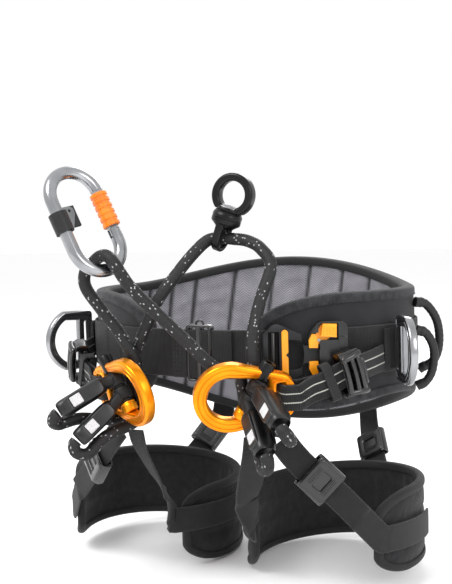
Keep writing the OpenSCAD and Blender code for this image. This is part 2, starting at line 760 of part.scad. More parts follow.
module carabiner_sleeve() {
    color("darkorange")
    in_carabiner() translate([turn_radius, 0, sleeve_low]) difference() {
        union() {
            cylinder(r = 7.4, h = sleeve_high - sleeve_low);
            for (k = [0:5])
                translate([0, 0, 2 + k * (sleeve_high - sleeve_low - 4) / 5 - 1.5]) cylinder(r = 8.25, h = 3);
        }
        translate([0, 0, -3]) cylinder(r = 5 + running, h = 80);
    }
}
module position_bar() {
    color([0.2, 0.2, 0.2])
    in_carabiner() difference() {
        union() {
            translate([-turn_radius, 0, -6]) cylinder(r = 8.6, h = 19);
            translate([-turn_radius, -5, -4]) cube([16, 3, 20]);
        }
        translate([-turn_radius, 0, -20]) cylinder(r = carabiner_bar + 0.05, h = 60);
    }
}

// ---- leg loops ----

leg_at = [98, -30];
leg_rx = 78;
leg_ry = 82;
leg_high = -128;
leg_opening = 44;    // half the angle left open at the front
function leg_point(angle, out, z) =
    [leg_at.x + (leg_rx + out) * sin(angle), leg_at.y - (leg_ry + out) * cos(angle), z];
leg_angles = [for (i = [0:48]) mix(leg_opening, 360 - leg_opening, i / 48)];
function leg_end(angle) = let (d = min(angle - leg_opening, 360 - leg_opening - angle), t = min(1, d / 32))
    (1 - sqrt(1 - pow(1 - t, 2)));
module leg_pad() {
    loft([for (a = leg_angles)
        let (cut = leg_end(a) * (leg_pad_height / 2 - 16), high = leg_high - 6 * (1 - sin(a)),
             top = high - cut, low = high - leg_pad_height + cut)
        [leg_point(a, 0, low), leg_point(a, leg_pad_thickness, low),
         leg_point(a, leg_pad_thickness, top), leg_point(a, 0, top)]]);
}
module leg_pad_right() {
    color("dimgray") leg_pad();
}
module leg_pad_left() {
    color("dimgray") mirrored() leg_pad();
}
on_pad = leg_pad_thickness + 2.6;
strap_height = -169;      // the leg straps run round the pad at this height
outer_route = [[84, -131, -75], [93, -131, -86], [105, -127, -100], [127, -116, -122], [149, -108, -146]];
inner_route = [[63, -137, -74], [60, -135, -90], [53, -129, -110], [42, -119, -139]];
module leg_strap_outer() {
    ribbon(concat(curve(outer_route, 2), [for (a = [48:6:96]) leg_point(a, on_pad, strap_height)]),
        leg_strap_width, webbing_thickness, [[0.75, 0.3, 0.6], [0.6, 0.3, 0.75], up, up, up]);
}
module leg_strap_inner() {
    ribbon(concat(curve(inner_route, 2), [for (a = [322:-6:268]) leg_point(a, on_pad, strap_height)]),
        leg_strap_width, webbing_thickness, [[0.9, 0.4, 0.1], [0.8, 0.4, 0.45], up, up, up]);
}
module leg_strap_outer_right() {
    color("black") leg_strap_outer();
}
module leg_strap_outer_left() {
    color("black") mirrored() leg_strap_outer();
}
module leg_strap_inner_right() {
    color("black") leg_strap_inner();
}
module leg_strap_inner_left() {
    color("black") mirrored() leg_strap_inner();
}
// Adjuster on the outer leg strap
module leg_adjuster() {
    color([0.13, 0.13, 0.14])
    standing([116, -121, -111], 33, 45) strap_frame(30, 40, 12, 8);
}
module leg_adjuster_right() {
    leg_adjuster();
}
module leg_adjuster_left() {
    mirrored() leg_adjuster();
}
riser_route = [[87, 115, -70], [88, 115.5, -94], [91, 110, -112], [98, 98, -127], [106, 82, -141],
    [112, 68, -152], [113, 64.5, -170]];
module rear_riser() {
    ribbon(curve(riser_route, 2), leg_strap_width, webbing_thickness, [[0.9, -0.4, 0], [0.9, -0.4, 0]]);
}
module rear_risers() {
    color("black") rear_riser();
    color("black") mirrored() rear_riser();
}
// x from a towards b, y across the strap
module along_points(a, b) {
    x = unit(b - a);
    y = square_to([0.9, -0.4, 0], x);
    z = cross(x, y);
    at = (a + b) / 2;
    multmatrix([[x.x, y.x, z.x, at.x], [x.y, y.y, z.y, at.y], [x.z, y.z, z.z, at.z], [0, 0, 0, 1]])
        children();
}
module riser_adjuster() {
    along_points(riser_route[2], riser_route[4]) strap_frame(30, 38, 10, 6);
}
module riser_adjusters() {
    color([0.13, 0.13, 0.14]) riser_adjuster();
    color([0.13, 0.13, 0.14]) mirrored() riser_adjuster();
}

belt_lining_pad();
belt_outer_shell();
belt_binding_top();
belt_binding_bottom();
waist_webbing();
d_ring_tabs();
side_strap_right();
side_strap_left();
strap_buckle_right();
strap_buckle_left();
strap_keepers();
gear_loops_right();
gear_loops_left();
buckle_housing();
lever_pins();
lever_upper();
lever_lower();
front_webbing();
waist_slider();
buckle_tongue();
tongue_roller();
tongue_tab();
d_ring_right();
d_ring_left();
ring_body_right();
ring_body_left();
gate_bar_right();
gate_bar_left();
bar_spacers_right();
bar_spacers_left();
rope_eyes_right();
rope_eyes_left();
rope_covers_right();
rope_covers_left();
cover_labels_right();
cover_labels_left();
rope_bridge_swivel();
rope_bridge_carabiner();
swivel_fork();
swivel_eye();
swivel_axle();
swivel_bearing();
carabiner_body();
carabiner_gate();
carabiner_sleeve();
gate_pin();
position_bar();
leg_pad_right();
leg_pad_left();
leg_strap_outer_right();
leg_strap_outer_left();
leg_strap_inner_right();
leg_strap_inner_left();
leg_adjuster_right();
leg_adjuster_left();
rear_risers();
riser_adjusters();
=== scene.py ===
"""Looks of the tree climbing saddle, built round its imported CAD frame.

Shapes are worked out in millimetres, in the CAD's own frame, and written to Blender in metres.
The wearer's left is +X, the front is -Y and up is +Z.
"""
import json
import math

import bmesh
import bpy
import numpy as np
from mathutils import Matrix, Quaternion, Vector

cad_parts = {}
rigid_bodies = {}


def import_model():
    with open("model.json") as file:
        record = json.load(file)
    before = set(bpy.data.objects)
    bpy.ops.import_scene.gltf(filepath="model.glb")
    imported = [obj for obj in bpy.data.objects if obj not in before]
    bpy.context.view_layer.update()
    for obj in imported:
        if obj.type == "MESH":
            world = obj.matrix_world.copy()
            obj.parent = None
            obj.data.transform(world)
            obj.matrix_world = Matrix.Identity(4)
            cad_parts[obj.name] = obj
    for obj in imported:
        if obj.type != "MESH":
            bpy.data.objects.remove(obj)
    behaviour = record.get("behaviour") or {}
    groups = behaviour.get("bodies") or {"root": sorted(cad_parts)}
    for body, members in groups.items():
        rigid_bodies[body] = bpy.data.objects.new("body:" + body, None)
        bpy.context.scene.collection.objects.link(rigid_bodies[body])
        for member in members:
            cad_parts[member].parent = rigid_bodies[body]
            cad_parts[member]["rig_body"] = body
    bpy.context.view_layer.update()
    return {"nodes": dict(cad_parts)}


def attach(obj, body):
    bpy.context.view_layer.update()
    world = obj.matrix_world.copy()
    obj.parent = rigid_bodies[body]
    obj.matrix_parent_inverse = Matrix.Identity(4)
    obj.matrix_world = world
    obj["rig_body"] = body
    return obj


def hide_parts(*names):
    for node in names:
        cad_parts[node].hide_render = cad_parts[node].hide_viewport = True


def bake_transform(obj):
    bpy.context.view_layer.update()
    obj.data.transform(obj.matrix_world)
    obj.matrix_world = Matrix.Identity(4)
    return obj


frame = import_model()

MM = 0.001
UP = np.array([0.0, 0.0, 1.0])


# ---------------------------------------------------------------- small geometry helpers

def unit(v):
    """The vector, or each row of vectors, at length 1."""
    v = np.asarray(v, float)
    return v / np.linalg.norm(v, axis=-1, keepdims=True)


def flip(points):
    """The same points on the wearer's other side."""
    return np.asarray(points, float) * [-1, 1, 1]


def arc(cx, cy, r, start, end, steps=10):
    """Points on an arc, with its angles in degrees."""
    turns = np.radians(np.linspace(start, end, steps + 1))
    return [(cx + r * math.cos(t), cy + r * math.sin(t)) for t in turns]


def rounded_box(x, y, r, steps=5):
    """Outline of a rectangle x by y with corners of radius r."""
    a, b = x / 2 - r, y / 2 - r
    corners = ((a, b, 0), (-a, b, 90), (-a, -b, 180), (a, -b, 270))
    return [p for cx, cy, t in corners for p in arc(cx, cy, r, t, t + 90, steps)]


def curve(points, steps):
    """A smooth curve through given points."""
    p = np.asarray(points, float)
    q = np.vstack([2 * p[0] - p[1], p, 2 * p[-1] - p[-2]])
    made = []
    for i in range(len(p) - 1):
        a, b, c, d = q[i:i + 4]
        for t in np.arange(steps) / steps:
            bend = (2 * a - 5 * b + 4 * c - d) * t * t + (3 * b - a - 3 * c + d) * t ** 3
            made.append(0.5 * (2 * b + (c - a) * t + bend))
    return np.array(made + [p[-1]])


def distances(path):
    """How far along a path each of its points is."""
    steps = np.linalg.norm(np.diff(path, axis=0), axis=1)
    return np.concatenate([[0], np.cumsum(steps)])


def resample(path, spacing):
    """The same line with points at equal distances, and the distance of each."""
    path = np.asarray(path, float)
    s = distances(path)
    at = np.linspace(0, s[-1], max(2, int(round(s[-1] / spacing)) + 1))
    return np.stack([np.interp(at, s, path[:, k]) for k in range(path.shape[1])], axis=1), at


def carried(path, start):
    """Direction, up and side at each point of a path, carried along without twist."""
    along = unit(np.gradient(path, axis=0))
    ups = np.zeros_like(path)
    up = np.asarray(start, float)
    for i, d in enumerate(along):
        up = unit(up - d * (up @ d))
        ups[i] = up
    return along, ups, np.cross(along, ups)


class Axes:
    """A local frame in millimetres: an origin and three directions."""

    def __init__(self, origin, x, y, z):
        self.origin = np.asarray(origin, float)
        self.rows = np.array([x, y, z], float)

    def __call__(self, points):
        return self.origin + np.asarray(points, float) @ self.rows


# ---------------------------------------------------------------- meshes

def build(name, verts, faces, materials, lay=None, mirror=False, sharp=40, which=None):
    """A new object from millimetre points. lay is the point attribute that the materials read."""
    verts = np.array(verts, float).reshape(-1, 3)
    assert np.isfinite(verts).all(), name
    faces = [tuple(int(i) for i in f) for f in faces]
    if mirror:
        verts = flip(verts)
        faces = [f[::-1] for f in faces]
    mesh = bpy.data.meshes.new(name)
    mesh.from_pydata((verts * MM).tolist(), [], faces)
    for m in materials if isinstance(materials, (list, tuple)) else [materials]:
        mesh.materials.append(m)
    if which is not None:
        mesh.polygons.foreach_set("material_index", np.asarray(which, np.int32))
    if lay is not None:
        made = mesh.attributes.new("lay", "FLOAT_VECTOR", "POINT")
        made.data.foreach_set("vector", np.asarray(lay, np.float32).ravel())
    mesh.shade_smooth()
    mesh.set_sharp_from_angle(angle=math.radians(sharp))
    mesh.update()
    obj = bpy.data.objects.new(name, mesh)
    bpy.context.scene.collection.objects.link(obj)
    return obj


def grid_faces(rows, cols, around=True, ends=True):
    """Faces of a lattice of rows by cols points; around closes each row, ends cap the first and last."""
    made = []
    for i in range(rows - 1):
        for j in range(cols if around else cols - 1):
            k = (j + 1) % cols
            made.append((i * cols + j, i * cols + k, (i + 1) * cols + k, (i + 1) * cols + j))
    if ends:
        made.append(tuple(range(cols))[::-1])
        made.append(tuple((rows - 1) * cols + j for j in range(cols)))
    return made


def outward(obj):
    """Turns every face outwards, for a closed piece."""
    bm = bmesh.new()
    bm.from_mesh(obj.data)
    bmesh.ops.recalc_face_normals(bm, faces=bm.faces)
    bm.to_mesh(obj.data)
    bm.free()
    return obj


def place(obj, body, *nodes, slot=None):
    """The piece moves with that CAD body and stands for those CAD nodes."""
    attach(obj, body)
    if nodes:
        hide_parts(*nodes)
    return obj


def inset(outline, amount):
    """A closed outline moved inwards by amount, its corners mitred. Counter-clockwise is inwards."""
    p = np.asarray(outline, float)
    before, after = unit(p - np.roll(p, 1, axis=0)), unit(np.roll(p, -1, axis=0) - p)
    normals = np.stack([-(before + after)[:, 1], (before + after)[:, 0]], axis=1)
    normals = unit(normals)
    square = np.stack([-before[:, 1], before[:, 0]], axis=1)
    stretch = np.clip((normals * square).sum(1, keepdims=True), 0.5, 1)
    return p + normals * amount / stretch


def clean(outline):
    """An outline without repeated points."""
    p = np.asarray(outline, float)
    keep = np.linalg.norm(p - np.roll(p, 1, axis=0), axis=1) > 1e-4
    return p[keep]


def signed_area(p):
    return 0.5 * (p[:, 0] * np.roll(p[:, 1], -1) - np.roll(p[:, 0], -1) * p[:, 1]).sum()


def rounding(half, r, steps=4):
    """Inset and height of each level of a rounded edge, from the top face to the bottom one."""
    turns = np.radians(np.linspace(0, 90, steps + 1))
    top = [(r * (1 - math.sin(t)), half - r * (1 - math.cos(t))) for t in turns]
    return top + [(i, -h) for i, h in reversed(top)]


def plate(name, outer, holes, levels, materials, axes, hole_levels=None, mirror=False, sharp=40):
    """A flat piece with shaped edges: levels are (inset, height) from its top face to its bottom."""
    bm = bmesh.new()
    loops = [(clean(outer), levels, 1)] + [(clean(h), hole_levels or levels, -1) for h in holes]
    rims = {"top": [], "bottom": []}
    for outline, steps, side in loops:
        if signed_area(outline) < 0:
            outline = outline[::-1]
        rings = []
        for amount, height in steps:
            ring = inset(outline, amount * side)
            rings.append([bm.verts.new((x, y, height)) for x, y in ring])
        count = len(outline)
        for a, b in zip(rings, rings[1:]):
            for j in range(count):
                k = (j + 1) % count
                bm.faces.new((a[j], a[k], b[k], b[j]))
        rims["top"].append(rings[0])
        rims["bottom"].append(rings[-1])
    for group in rims.values():
        edges = []
        for ring in group:
            for j, v in enumerate(ring):
                w = ring[(j + 1) % len(ring)]
                edges.append(bm.edges.get((v, w)))
        bmesh.ops.triangle_fill(bm, edges=edges, use_beauty=True)
    bmesh.ops.recalc_face_normals(bm, faces=bm.faces)
    verts = axes(np.array([v.co for v in bm.verts]))
    bm.verts.index_update()
    faces = [[v.index for v in f.verts] for f in bm.faces]
    bm.free()
    return outward(build(name, verts, faces, materials, mirror=mirror, sharp=sharp))


def lathe(name, profile, axes, material, sides=32, mirror=False, sharp=40):
    """A turned piece: profile is (radius, height) from its foot to its top. A closed one makes a ring."""
    ring = profile[0] == profile[-1]
    if ring:
        profile = profile[:-1]
    turns = np.linspace(0, 2 * math.pi, sides, endpoint=False)
    rows = [[(r * math.cos(t), r * math.sin(t), h) for t in turns] for r, h in profile]
    faces = grid_faces(len(rows), sides, ends=not ring)
    if ring:
        last = (len(rows) - 1) * sides
        faces += [(last + j, last + (j + 1) % sides, (j + 1) % sides, j) for j in range(sides)]
    return outward(build(name, axes(np.array(rows).reshape(-1, 3)), faces, material, mirror=mirror,
                         sharp=sharp))


def tube_points(path, start, size, sides):
    """Rings of points round a path. size is the radius of each ring, or of each point of each ring."""
    _, ups, across = carried(path, start)
    turns = np.linspace(0, 2 * math.pi, sides, endpoint=False)
    wheel = np.cos(turns)[None, :, None] * ups[:, None] + np.sin(turns)[None, :, None] * across[:, None]
    return path[:, None] + wheel * np.reshape(size, (len(path), -1, 1))


def rod(name, path, radius, material, sides=16, start=UP, mirror=False):
    """A plain round bar along a path, with rounded ends. start isn't along the path's first stretch."""
    path = np.asarray(path, float)
    size = np.full(len(path), float(radius))
    size[[0, -1]] *= 0.75
    verts = tube_points(path, start, size, sides)
    return outward(build(name, verts, grid_faces(len(path), sides), material, mirror=mirror))


def band_section(width, thick, steps=4):
    """Cross-section of webbing, as (across, out) with rounded edges and a slightly raised middle."""
    r = thick / 2 * 0.98
    right = arc(width / 2 - r, 0, r, -90, 90, steps)
    left = arc(-width / 2 + r, 0, r, 90, 270, steps)
    inner = np.linspace(width / 2 - r, -width / 2 + r, 9)[1:-1]
    crown = [(x, thick / 2 + 0.12 * (1 - (2 * x / width) ** 2)) for x in inner]
    return np.array(right + crown + left + [(-x, -h) for x, h in crown])


def webbing(name, path, wides, width, thick, material, mirror=False, spacing=1.5):
    """A strap along a path. wides are the directions across it, spread evenly along the path."""
    path, at = resample(path, spacing)
    along = unit(np.gradient(path, axis=0))
    steps = np.linspace(0, len(wides) - 1, len(path))
    across = np.stack([np.interp(steps, range(len(wides)), np.asarray(wides, float)[:, k])
                       for k in range(3)], axis=1)
    across = unit(across - along * (across * along).sum(1, keepdims=True))
    out = np.cross(along, across)
    section = band_section(width, thick)
    verts = path[:, None] + section[None, :, :1] * across[:, None] + section[None, :, 1:] * out[:, None]
    lay = np.zeros_like(verts)
    lay[..., 0] = at[:, None]
    lay[..., 1] = section[None, :, 0]
    lay[..., 2] = section[None, :, 1]
    return outward(build(name, verts, grid_faces(len(path), len(section)), material,
                         lay=lay.reshape(-1, 3), mirror=mirror, sharp=60))


STITCH = 2.6      # length of one stitch
STITCH_GAP = 1.2
THREAD = 0.32     # radius of the sewing thread


def stitches(name, lines, material, mirror=False):
    """Rows of short rounded stitches. Each line is (points, outward directions)."""
    verts, faces = [], []
    turns = np.linspace(0, 2 * math.pi, 6, endpoint=False)
    for points, outs in lines:
        points = np.asarray(points, float)
        s = distances(points)
        outs = unit(np.broadcast_to(np.asarray(outs, float), points.shape))
        for begin in np.arange(0.4, s[-1] - STITCH, STITCH + STITCH_GAP):
            at = begin + STITCH * np.array([0, 0.15, 0.5, 0.85, 1])
            p = np.stack([np.interp(at, s, points[:, k]) for k in range(3)], axis=1)
            o = unit(np.stack([np.interp(at, s, outs[:, k]) for k in range(3)], axis=1))
            d = unit(p[-1] - p[0])
            side = np.cross(o, d)
            size = THREAD * np.array([0.35, 0.9, 1, 0.9, 0.35])[:, None, None]
            lift = THREAD * np.array([-0.9, 0.1, 0.5, 0.1, -0.9])[:, None]
            ring = np.cos(turns)[None, :, None] * o[:, None] + np.sin(turns)[None, :, None] * side[:, None]
            base = len(verts)
            verts.extend((p[:, None] + lift[:, None] * o[:, None] + ring * size).reshape(-1, 3))
            faces.extend(tuple(base + i for i in f) for f in grid_faces(5, 6))
    return build(name, verts, faces, material, mirror=mirror, sharp=180)


def polished(node, material, width=0.8, segments=3, name=None, sharp=40):
    """A copy of a CAD node with softened edges, which stands for it."""
    source = frame["nodes"][node]
    mesh = source.data.copy()
    mesh.materials.clear()
    mesh.materials.append(material)
    bm = bmesh.new()
    bm.from_mesh(mesh)
    bmesh.ops.remove_doubles(bm, verts=bm.verts, dist=1e-6)
    bmesh.ops.dissolve_limit(bm, angle_limit=math.radians(1), verts=bm.verts, edges=bm.edges)
    bm.to_mesh(mesh)
    bm.free()
    mesh.shade_smooth()
    mesh.set_sharp_from_angle(angle=math.radians(sharp))
    obj = bpy.data.objects.new(name or node + "_finished", mesh)
    bpy.context.scene.collection.objects.link(obj)
    bevel = obj.modifiers.new("soft_edges", "BEVEL")
    bevel.width = width * MM
    bevel.segments = segments
    bevel.limit_method = "ANGLE"
    bevel.angle_limit = math.radians(35)
    bevel.harden_normals = True
    return place(obj, source["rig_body"], node)


# ---------------------------------------------------------------- materials

def rgb(r, g, b):
    """A display colour as linear light."""
    return tuple(c / 12.92 if c <= 0.04045 else ((c + 0.055) / 1.055) ** 2.4 for c in (r, g, b)) + (1,)


class Surface:
    """A Principled material, with short ways to add nodes. Lengths are in millimetres."""

    def __init__(self, name, roughness, metallic=0.0, **sockets):
        self.material = bpy.data.materials.new(name)
        self.material.use_nodes = True
        self.tree = self.material.node_tree
        self.shader = self.tree.nodes["Principled BSDF"]
        self.shader.inputs["Roughness"].default_value = roughness
        self.shader.inputs["Metallic"].default_value = metallic
        for socket, value in sockets.items():
            self.shader.inputs[socket.replace("_", " ")].default_value = value

    def node(self, kind, **inputs):
        made = self.tree.nodes.new("ShaderNode" + kind)
        for key, value in inputs.items():
            self.feed(made.inputs[key], value)
        return made

    def feed(self, socket, value):
        if isinstance(value, bpy.types.NodeSocket):
            self.tree.links.new(value, socket)
        else:
            socket.default_value = value

    def calc(self, operation, a, b=0.0, c=0.0):
        made = self.tree.nodes.new("ShaderNodeMath")
        made.operation = operation
        for socket, value in zip(made.inputs, (a, b, c)):
            self.feed(socket, value)
        return made.outputs[0]

    def lay(self):
        """The piece's own coordinates: along, across and out, in millimetres."""
        made = self.tree.nodes.new("ShaderNodeAttribute")
        made.attribute_name = "lay"
        split = self.node("SeparateXYZ", Vector=made.outputs["Vector"])
        return split.outputs

    def place(self):
        """The piece's place in the frame, in metres."""
        return self.tree.nodes.new("ShaderNodeTexCoord").outputs["Object"]

    def split(self):
        return self.node("SeparateXYZ", Vector=self.place()).outputs

    def wave(self, value, pitch):
        return self.calc("SINE", self.calc("MULTIPLY", value, 2 * math.pi / pitch))

    def noise(self, size, detail=2.0, roughness=0.5, vector=None):
        made = self.node("TexNoise", Vector=vector or self.place(), Scale=1 / (size * MM))
        made.inputs["Detail"].default_value = detail
        made.inputs["Roughness"].default_value = roughness
        return made.outputs["Fac"]

    def step(self, value, low, high):
        """0 below low, 1 above high, smooth in between."""
        made = self.tree.nodes.new("ShaderNodeMapRange")
        made.interpolation_type = "SMOOTHSTEP"
        for key, v in (("Value", value), ("From Min", low), ("From Max", high)):
            self.feed(made.inputs[key], v)
        return made.outputs["Result"]

    def mix(self, share, a, b):
        made = self.tree.nodes.new("ShaderNodeMix")
        made.data_type = "RGBA"
        for socket, value in ((made.inputs[0], share), (made.inputs[6], a), (made.inputs[7], b)):
            self.feed(socket, value)
        return made.outputs[2]

    def done(self, color, height=None, depth=0.1, roughness=None):
        self.feed(self.shader.inputs["Base Color"], color)
        if height is not None:
            bump = self.node("Bump", Height=height, Distance=depth * MM)
            bump.inputs["Strength"].default_value = 1.0
            self.feed(self.shader.inputs["Normal"], bump.outputs["Normal"])
        if roughness is not None:
            self.feed(self.shader.inputs["Roughness"], roughness)
        return self.material


def webbing_material(name, base, light, tracers=(), width=45.0, pitch=1.5):
    """Ribbed polyester webbing; tracers are the distances across of its two pale threads."""
    s = Surface(name, 0.68, Sheen_Weight=0.08, Sheen_Roughness=0.4)
    along, across, _ = s.lay()
    rib = s.wave(along, pitch)
    twill = s.wave(s.calc("ADD", across, s.calc("MULTIPLY", along, 0.5)), 1.0)
    cloud = s.noise(9, 3)
    shade = s.calc("MULTIPLY_ADD", rib, 0.22, s.calc("MULTIPLY_ADD", twill, 0.10, cloud))
    color = s.mix(s.step(shade, 0.25, 0.95), base, light)
    edge = s.step(s.calc("ABSOLUTE", across), width / 2 - 1.6, width / 2 - 0.5)
    fuzz = s.calc("MULTIPLY", edge, s.step(s.noise(0.7, 1), 0.5, 0.62))
    color = s.mix(s.calc("MULTIPLY", fuzz, 0.35), color, rgb(0.42, 0.42, 0.43))
    height = s.calc("MULTIPLY_ADD", twill, 0.35, rib)
    for at in tracers:
        away = s.calc("ABSOLUTE", s.calc("SUBTRACT", across, at))
        dash = s.calc("MULTIPLY_ADD", s.wave(along, 2.1), 0.16, 0.62)
        line = s.calc("SUBTRACT", 1.0, s.step(away, s.calc("SUBTRACT", dash, 0.2), dash))
        color = s.mix(line, color, rgb(0.78, 0.78, 0.75))
    return s.done(color, height, 0.16)


def fleece_material(name, base, light):
    """Brushed edge fabric with a soft pile."""
    s = Surface(name, 0.95, Sheen_Weight=0.12, Sheen_Roughness=0.5)
    fine = s.noise(0.9, 4, 0.7)
    shade = s.calc("MULTIPLY_ADD", s.noise(7, 2), 0.5, s.calc("MULTIPLY", fine, 0.6))
    color = s.mix(s.step(shade, 0.35, 0.75), base, light)
    return s.done(color, fine, 0.35)


def shell_material():
    """Charcoal woven shell fabric with a heathered yarn."""
    s = Surface("shell_fabric", 0.85, Sheen_Weight=0.1, Sheen_Roughness=0.45)
    along, across, _ = s.lay()
    weave = s.calc("MULTIPLY", s.wave(along, 0.9), s.wave(across, 0.9))
    streak = s.node("CombineXYZ", X=s.calc("MULTIPLY", along, 0.0007), Y=0.0,
                    Z=s.calc("MULTIPLY", across, 0.003))
    heather = s.noise(0.9, 3, 0.6, vector=streak.outputs[0])
    shade = s.calc("MULTIPLY_ADD", weave, 0.12, s.calc("MULTIPLY_ADD", s.noise(22, 2), 0.4,
                                                       s.calc("MULTIPLY", heather, 0.6)))
    color = s.mix(s.step(shade, 0.3, 0.75), rgb(0.055, 0.057, 0.064), rgb(0.155, 0.158, 0.172))
    return s.done(color, s.calc("MULTIPLY_ADD", heather, 0.8, weave), 0.12)


def lining_material():
    """Grey spacer mesh in a herringbone of fine diagonal ridges, darkened towards the stitched channels as
    painted shade in their valleys.
    """
    s = Surface("lining_mesh", 0.82, Sheen_Weight=0.12, Sheen_Roughness=0.4)
    along, across, channel_shade_fade = s.lay()
    zigzag = s.calc("PINGPONG", along, 7.0)
    slant = s.calc("MULTIPLY_ADD", zigzag, 0.55, across)
    ridge = s.wave(slant, 1.9)
    dots = s.wave(s.calc("ADD", along, s.calc("MULTIPLY", across, 0.5)), 1.6)
    cloud = s.calc("MULTIPLY", s.noise(16, 3), 0.55)
    shade = s.calc("MULTIPLY_ADD", ridge, 0.34, s.calc("MULTIPLY_ADD", dots, 0.1, cloud))
    color = s.mix(s.step(shade, 0.1, 0.72), rgb(0.40, 0.395, 0.42), rgb(0.70, 0.695, 0.72))
    # Painted shade: the mesh turns dark grey close to each stitched channel, where the panels dip.
    color = s.mix(s.step(channel_shade_fade, 0.0, 1.0), rgb(0.13, 0.13, 0.14), color)
    return s.done(color, s.calc("MULTIPLY_ADD", dots, 0.3, ridge), 0.22)


def tape_material(name="binding_tape", base=(0.012, 0.012, 0.014), light=(0.065, 0.065, 0.072)):
    """Folded binding tape with a fine rib along the edge it covers."""
    s = Surface(name, 0.7, Sheen_Weight=0.06, Sheen_Roughness=0.4)
    along, across, _ = s.lay()
    rib = s.wave(across, 1.1)
    cross = s.wave(along, 0.8)
    shade = s.calc("MULTIPLY_ADD", rib, 0.18, s.calc("MULTIPLY_ADD", cross, 0.06, s.noise(12, 3)))
    color = s.mix(s.step(shade, 0.25, 0.85), rgb(*base), rgb(*light))
    return s.done(color, s.calc("MULTIPLY_ADD", cross, 0.4, rib), 0.12)


def plastic_material(name, base, light, roughness=0.42, grain=0.5, depth=0.03, coat=0.0):
    """Moulded plastic with a fine spark grain and slightly polished patches."""
    s = Surface(name, roughness, Coat_Weight=coat, Coat_Roughness=0.25)
    patch = s.noise(14, 3)
    fine = s.noise(grain, 2, 0.6)
    color = s.mix(s.step(s.calc("MULTIPLY_ADD", fine, 0.25, patch), 0.35, 0.85), base, light)
    rough = s.calc("MULTIPLY_ADD", patch, 0.16, roughness - 0.08)
    return s.done(color, fine, depth, roughness=rough)


def metal_material(name, base, light, roughness=0.28, metallic=1.0, depth=0.008):
    """Machined or anodised metal: fine blast texture, and faint rubbed patches that vary its gloss."""
    s = Surface(name, roughness, metallic)
    cloud = s.noise(26, 2, 0.4)
    fine = s.noise(0.3, 2)
    color = s.mix(s.step(cloud, 0.3, 0.7), base, light)
    rough = s.calc("MULTIPLY_ADD", s.noise(9, 3, 0.5), 0.10, roughness - 0.05)
    return s.done(color, fine, depth, roughness=rough)


def rope_material():
    """Black braided sheath: the mesh carries which strands hold a pale thread, and how high each point
    stands, which is painted as highlight on the strand crests and shade in the hollows.
    """
    s = Surface("rope_sheath", 0.62, Sheen_Weight=0.08, Sheen_Roughness=0.35)
    height, fleck, _ = s.lay()
    fiber = s.noise(0.5, 3, 0.6)
    # Painted highlight and shade: the braid's crests turn pale grey and its hollows near black.
    shade = s.calc("MULTIPLY_ADD", fiber, 0.3, s.calc("MULTIPLY", height, 0.85))
    color = s.mix(s.step(shade, 0.45, 1.1), rgb(0.004, 0.004, 0.005), rgb(0.17, 0.17, 0.178))
    color = s.mix(s.step(fleck, 0.35, 0.7), color, rgb(0.66, 0.66, 0.67))
    return s.done(color, fiber, 0.12)


def label_material():
    """Small blank woven label."""
    s = Surface("label_fabric", 0.8, Sheen_Weight=0.2)
    x, _, z = s.split()
    warp = s.wave(s.calc("MULTIPLY", x, 1000.0), 0.8)
    thread = s.calc("MULTIPLY", warp, s.wave(s.calc("MULTIPLY", z, 1000.0), 0.8))
    shade = s.calc("MULTIPLY_ADD", thread, 0.2, s.noise(0.9, 3))
    color = s.mix(s.step(shade, 0.3, 0.7), rgb(0.72, 0.72, 0.73), rgb(0.93, 0.93, 0.93))
    return s.done(color, thread, 0.12)


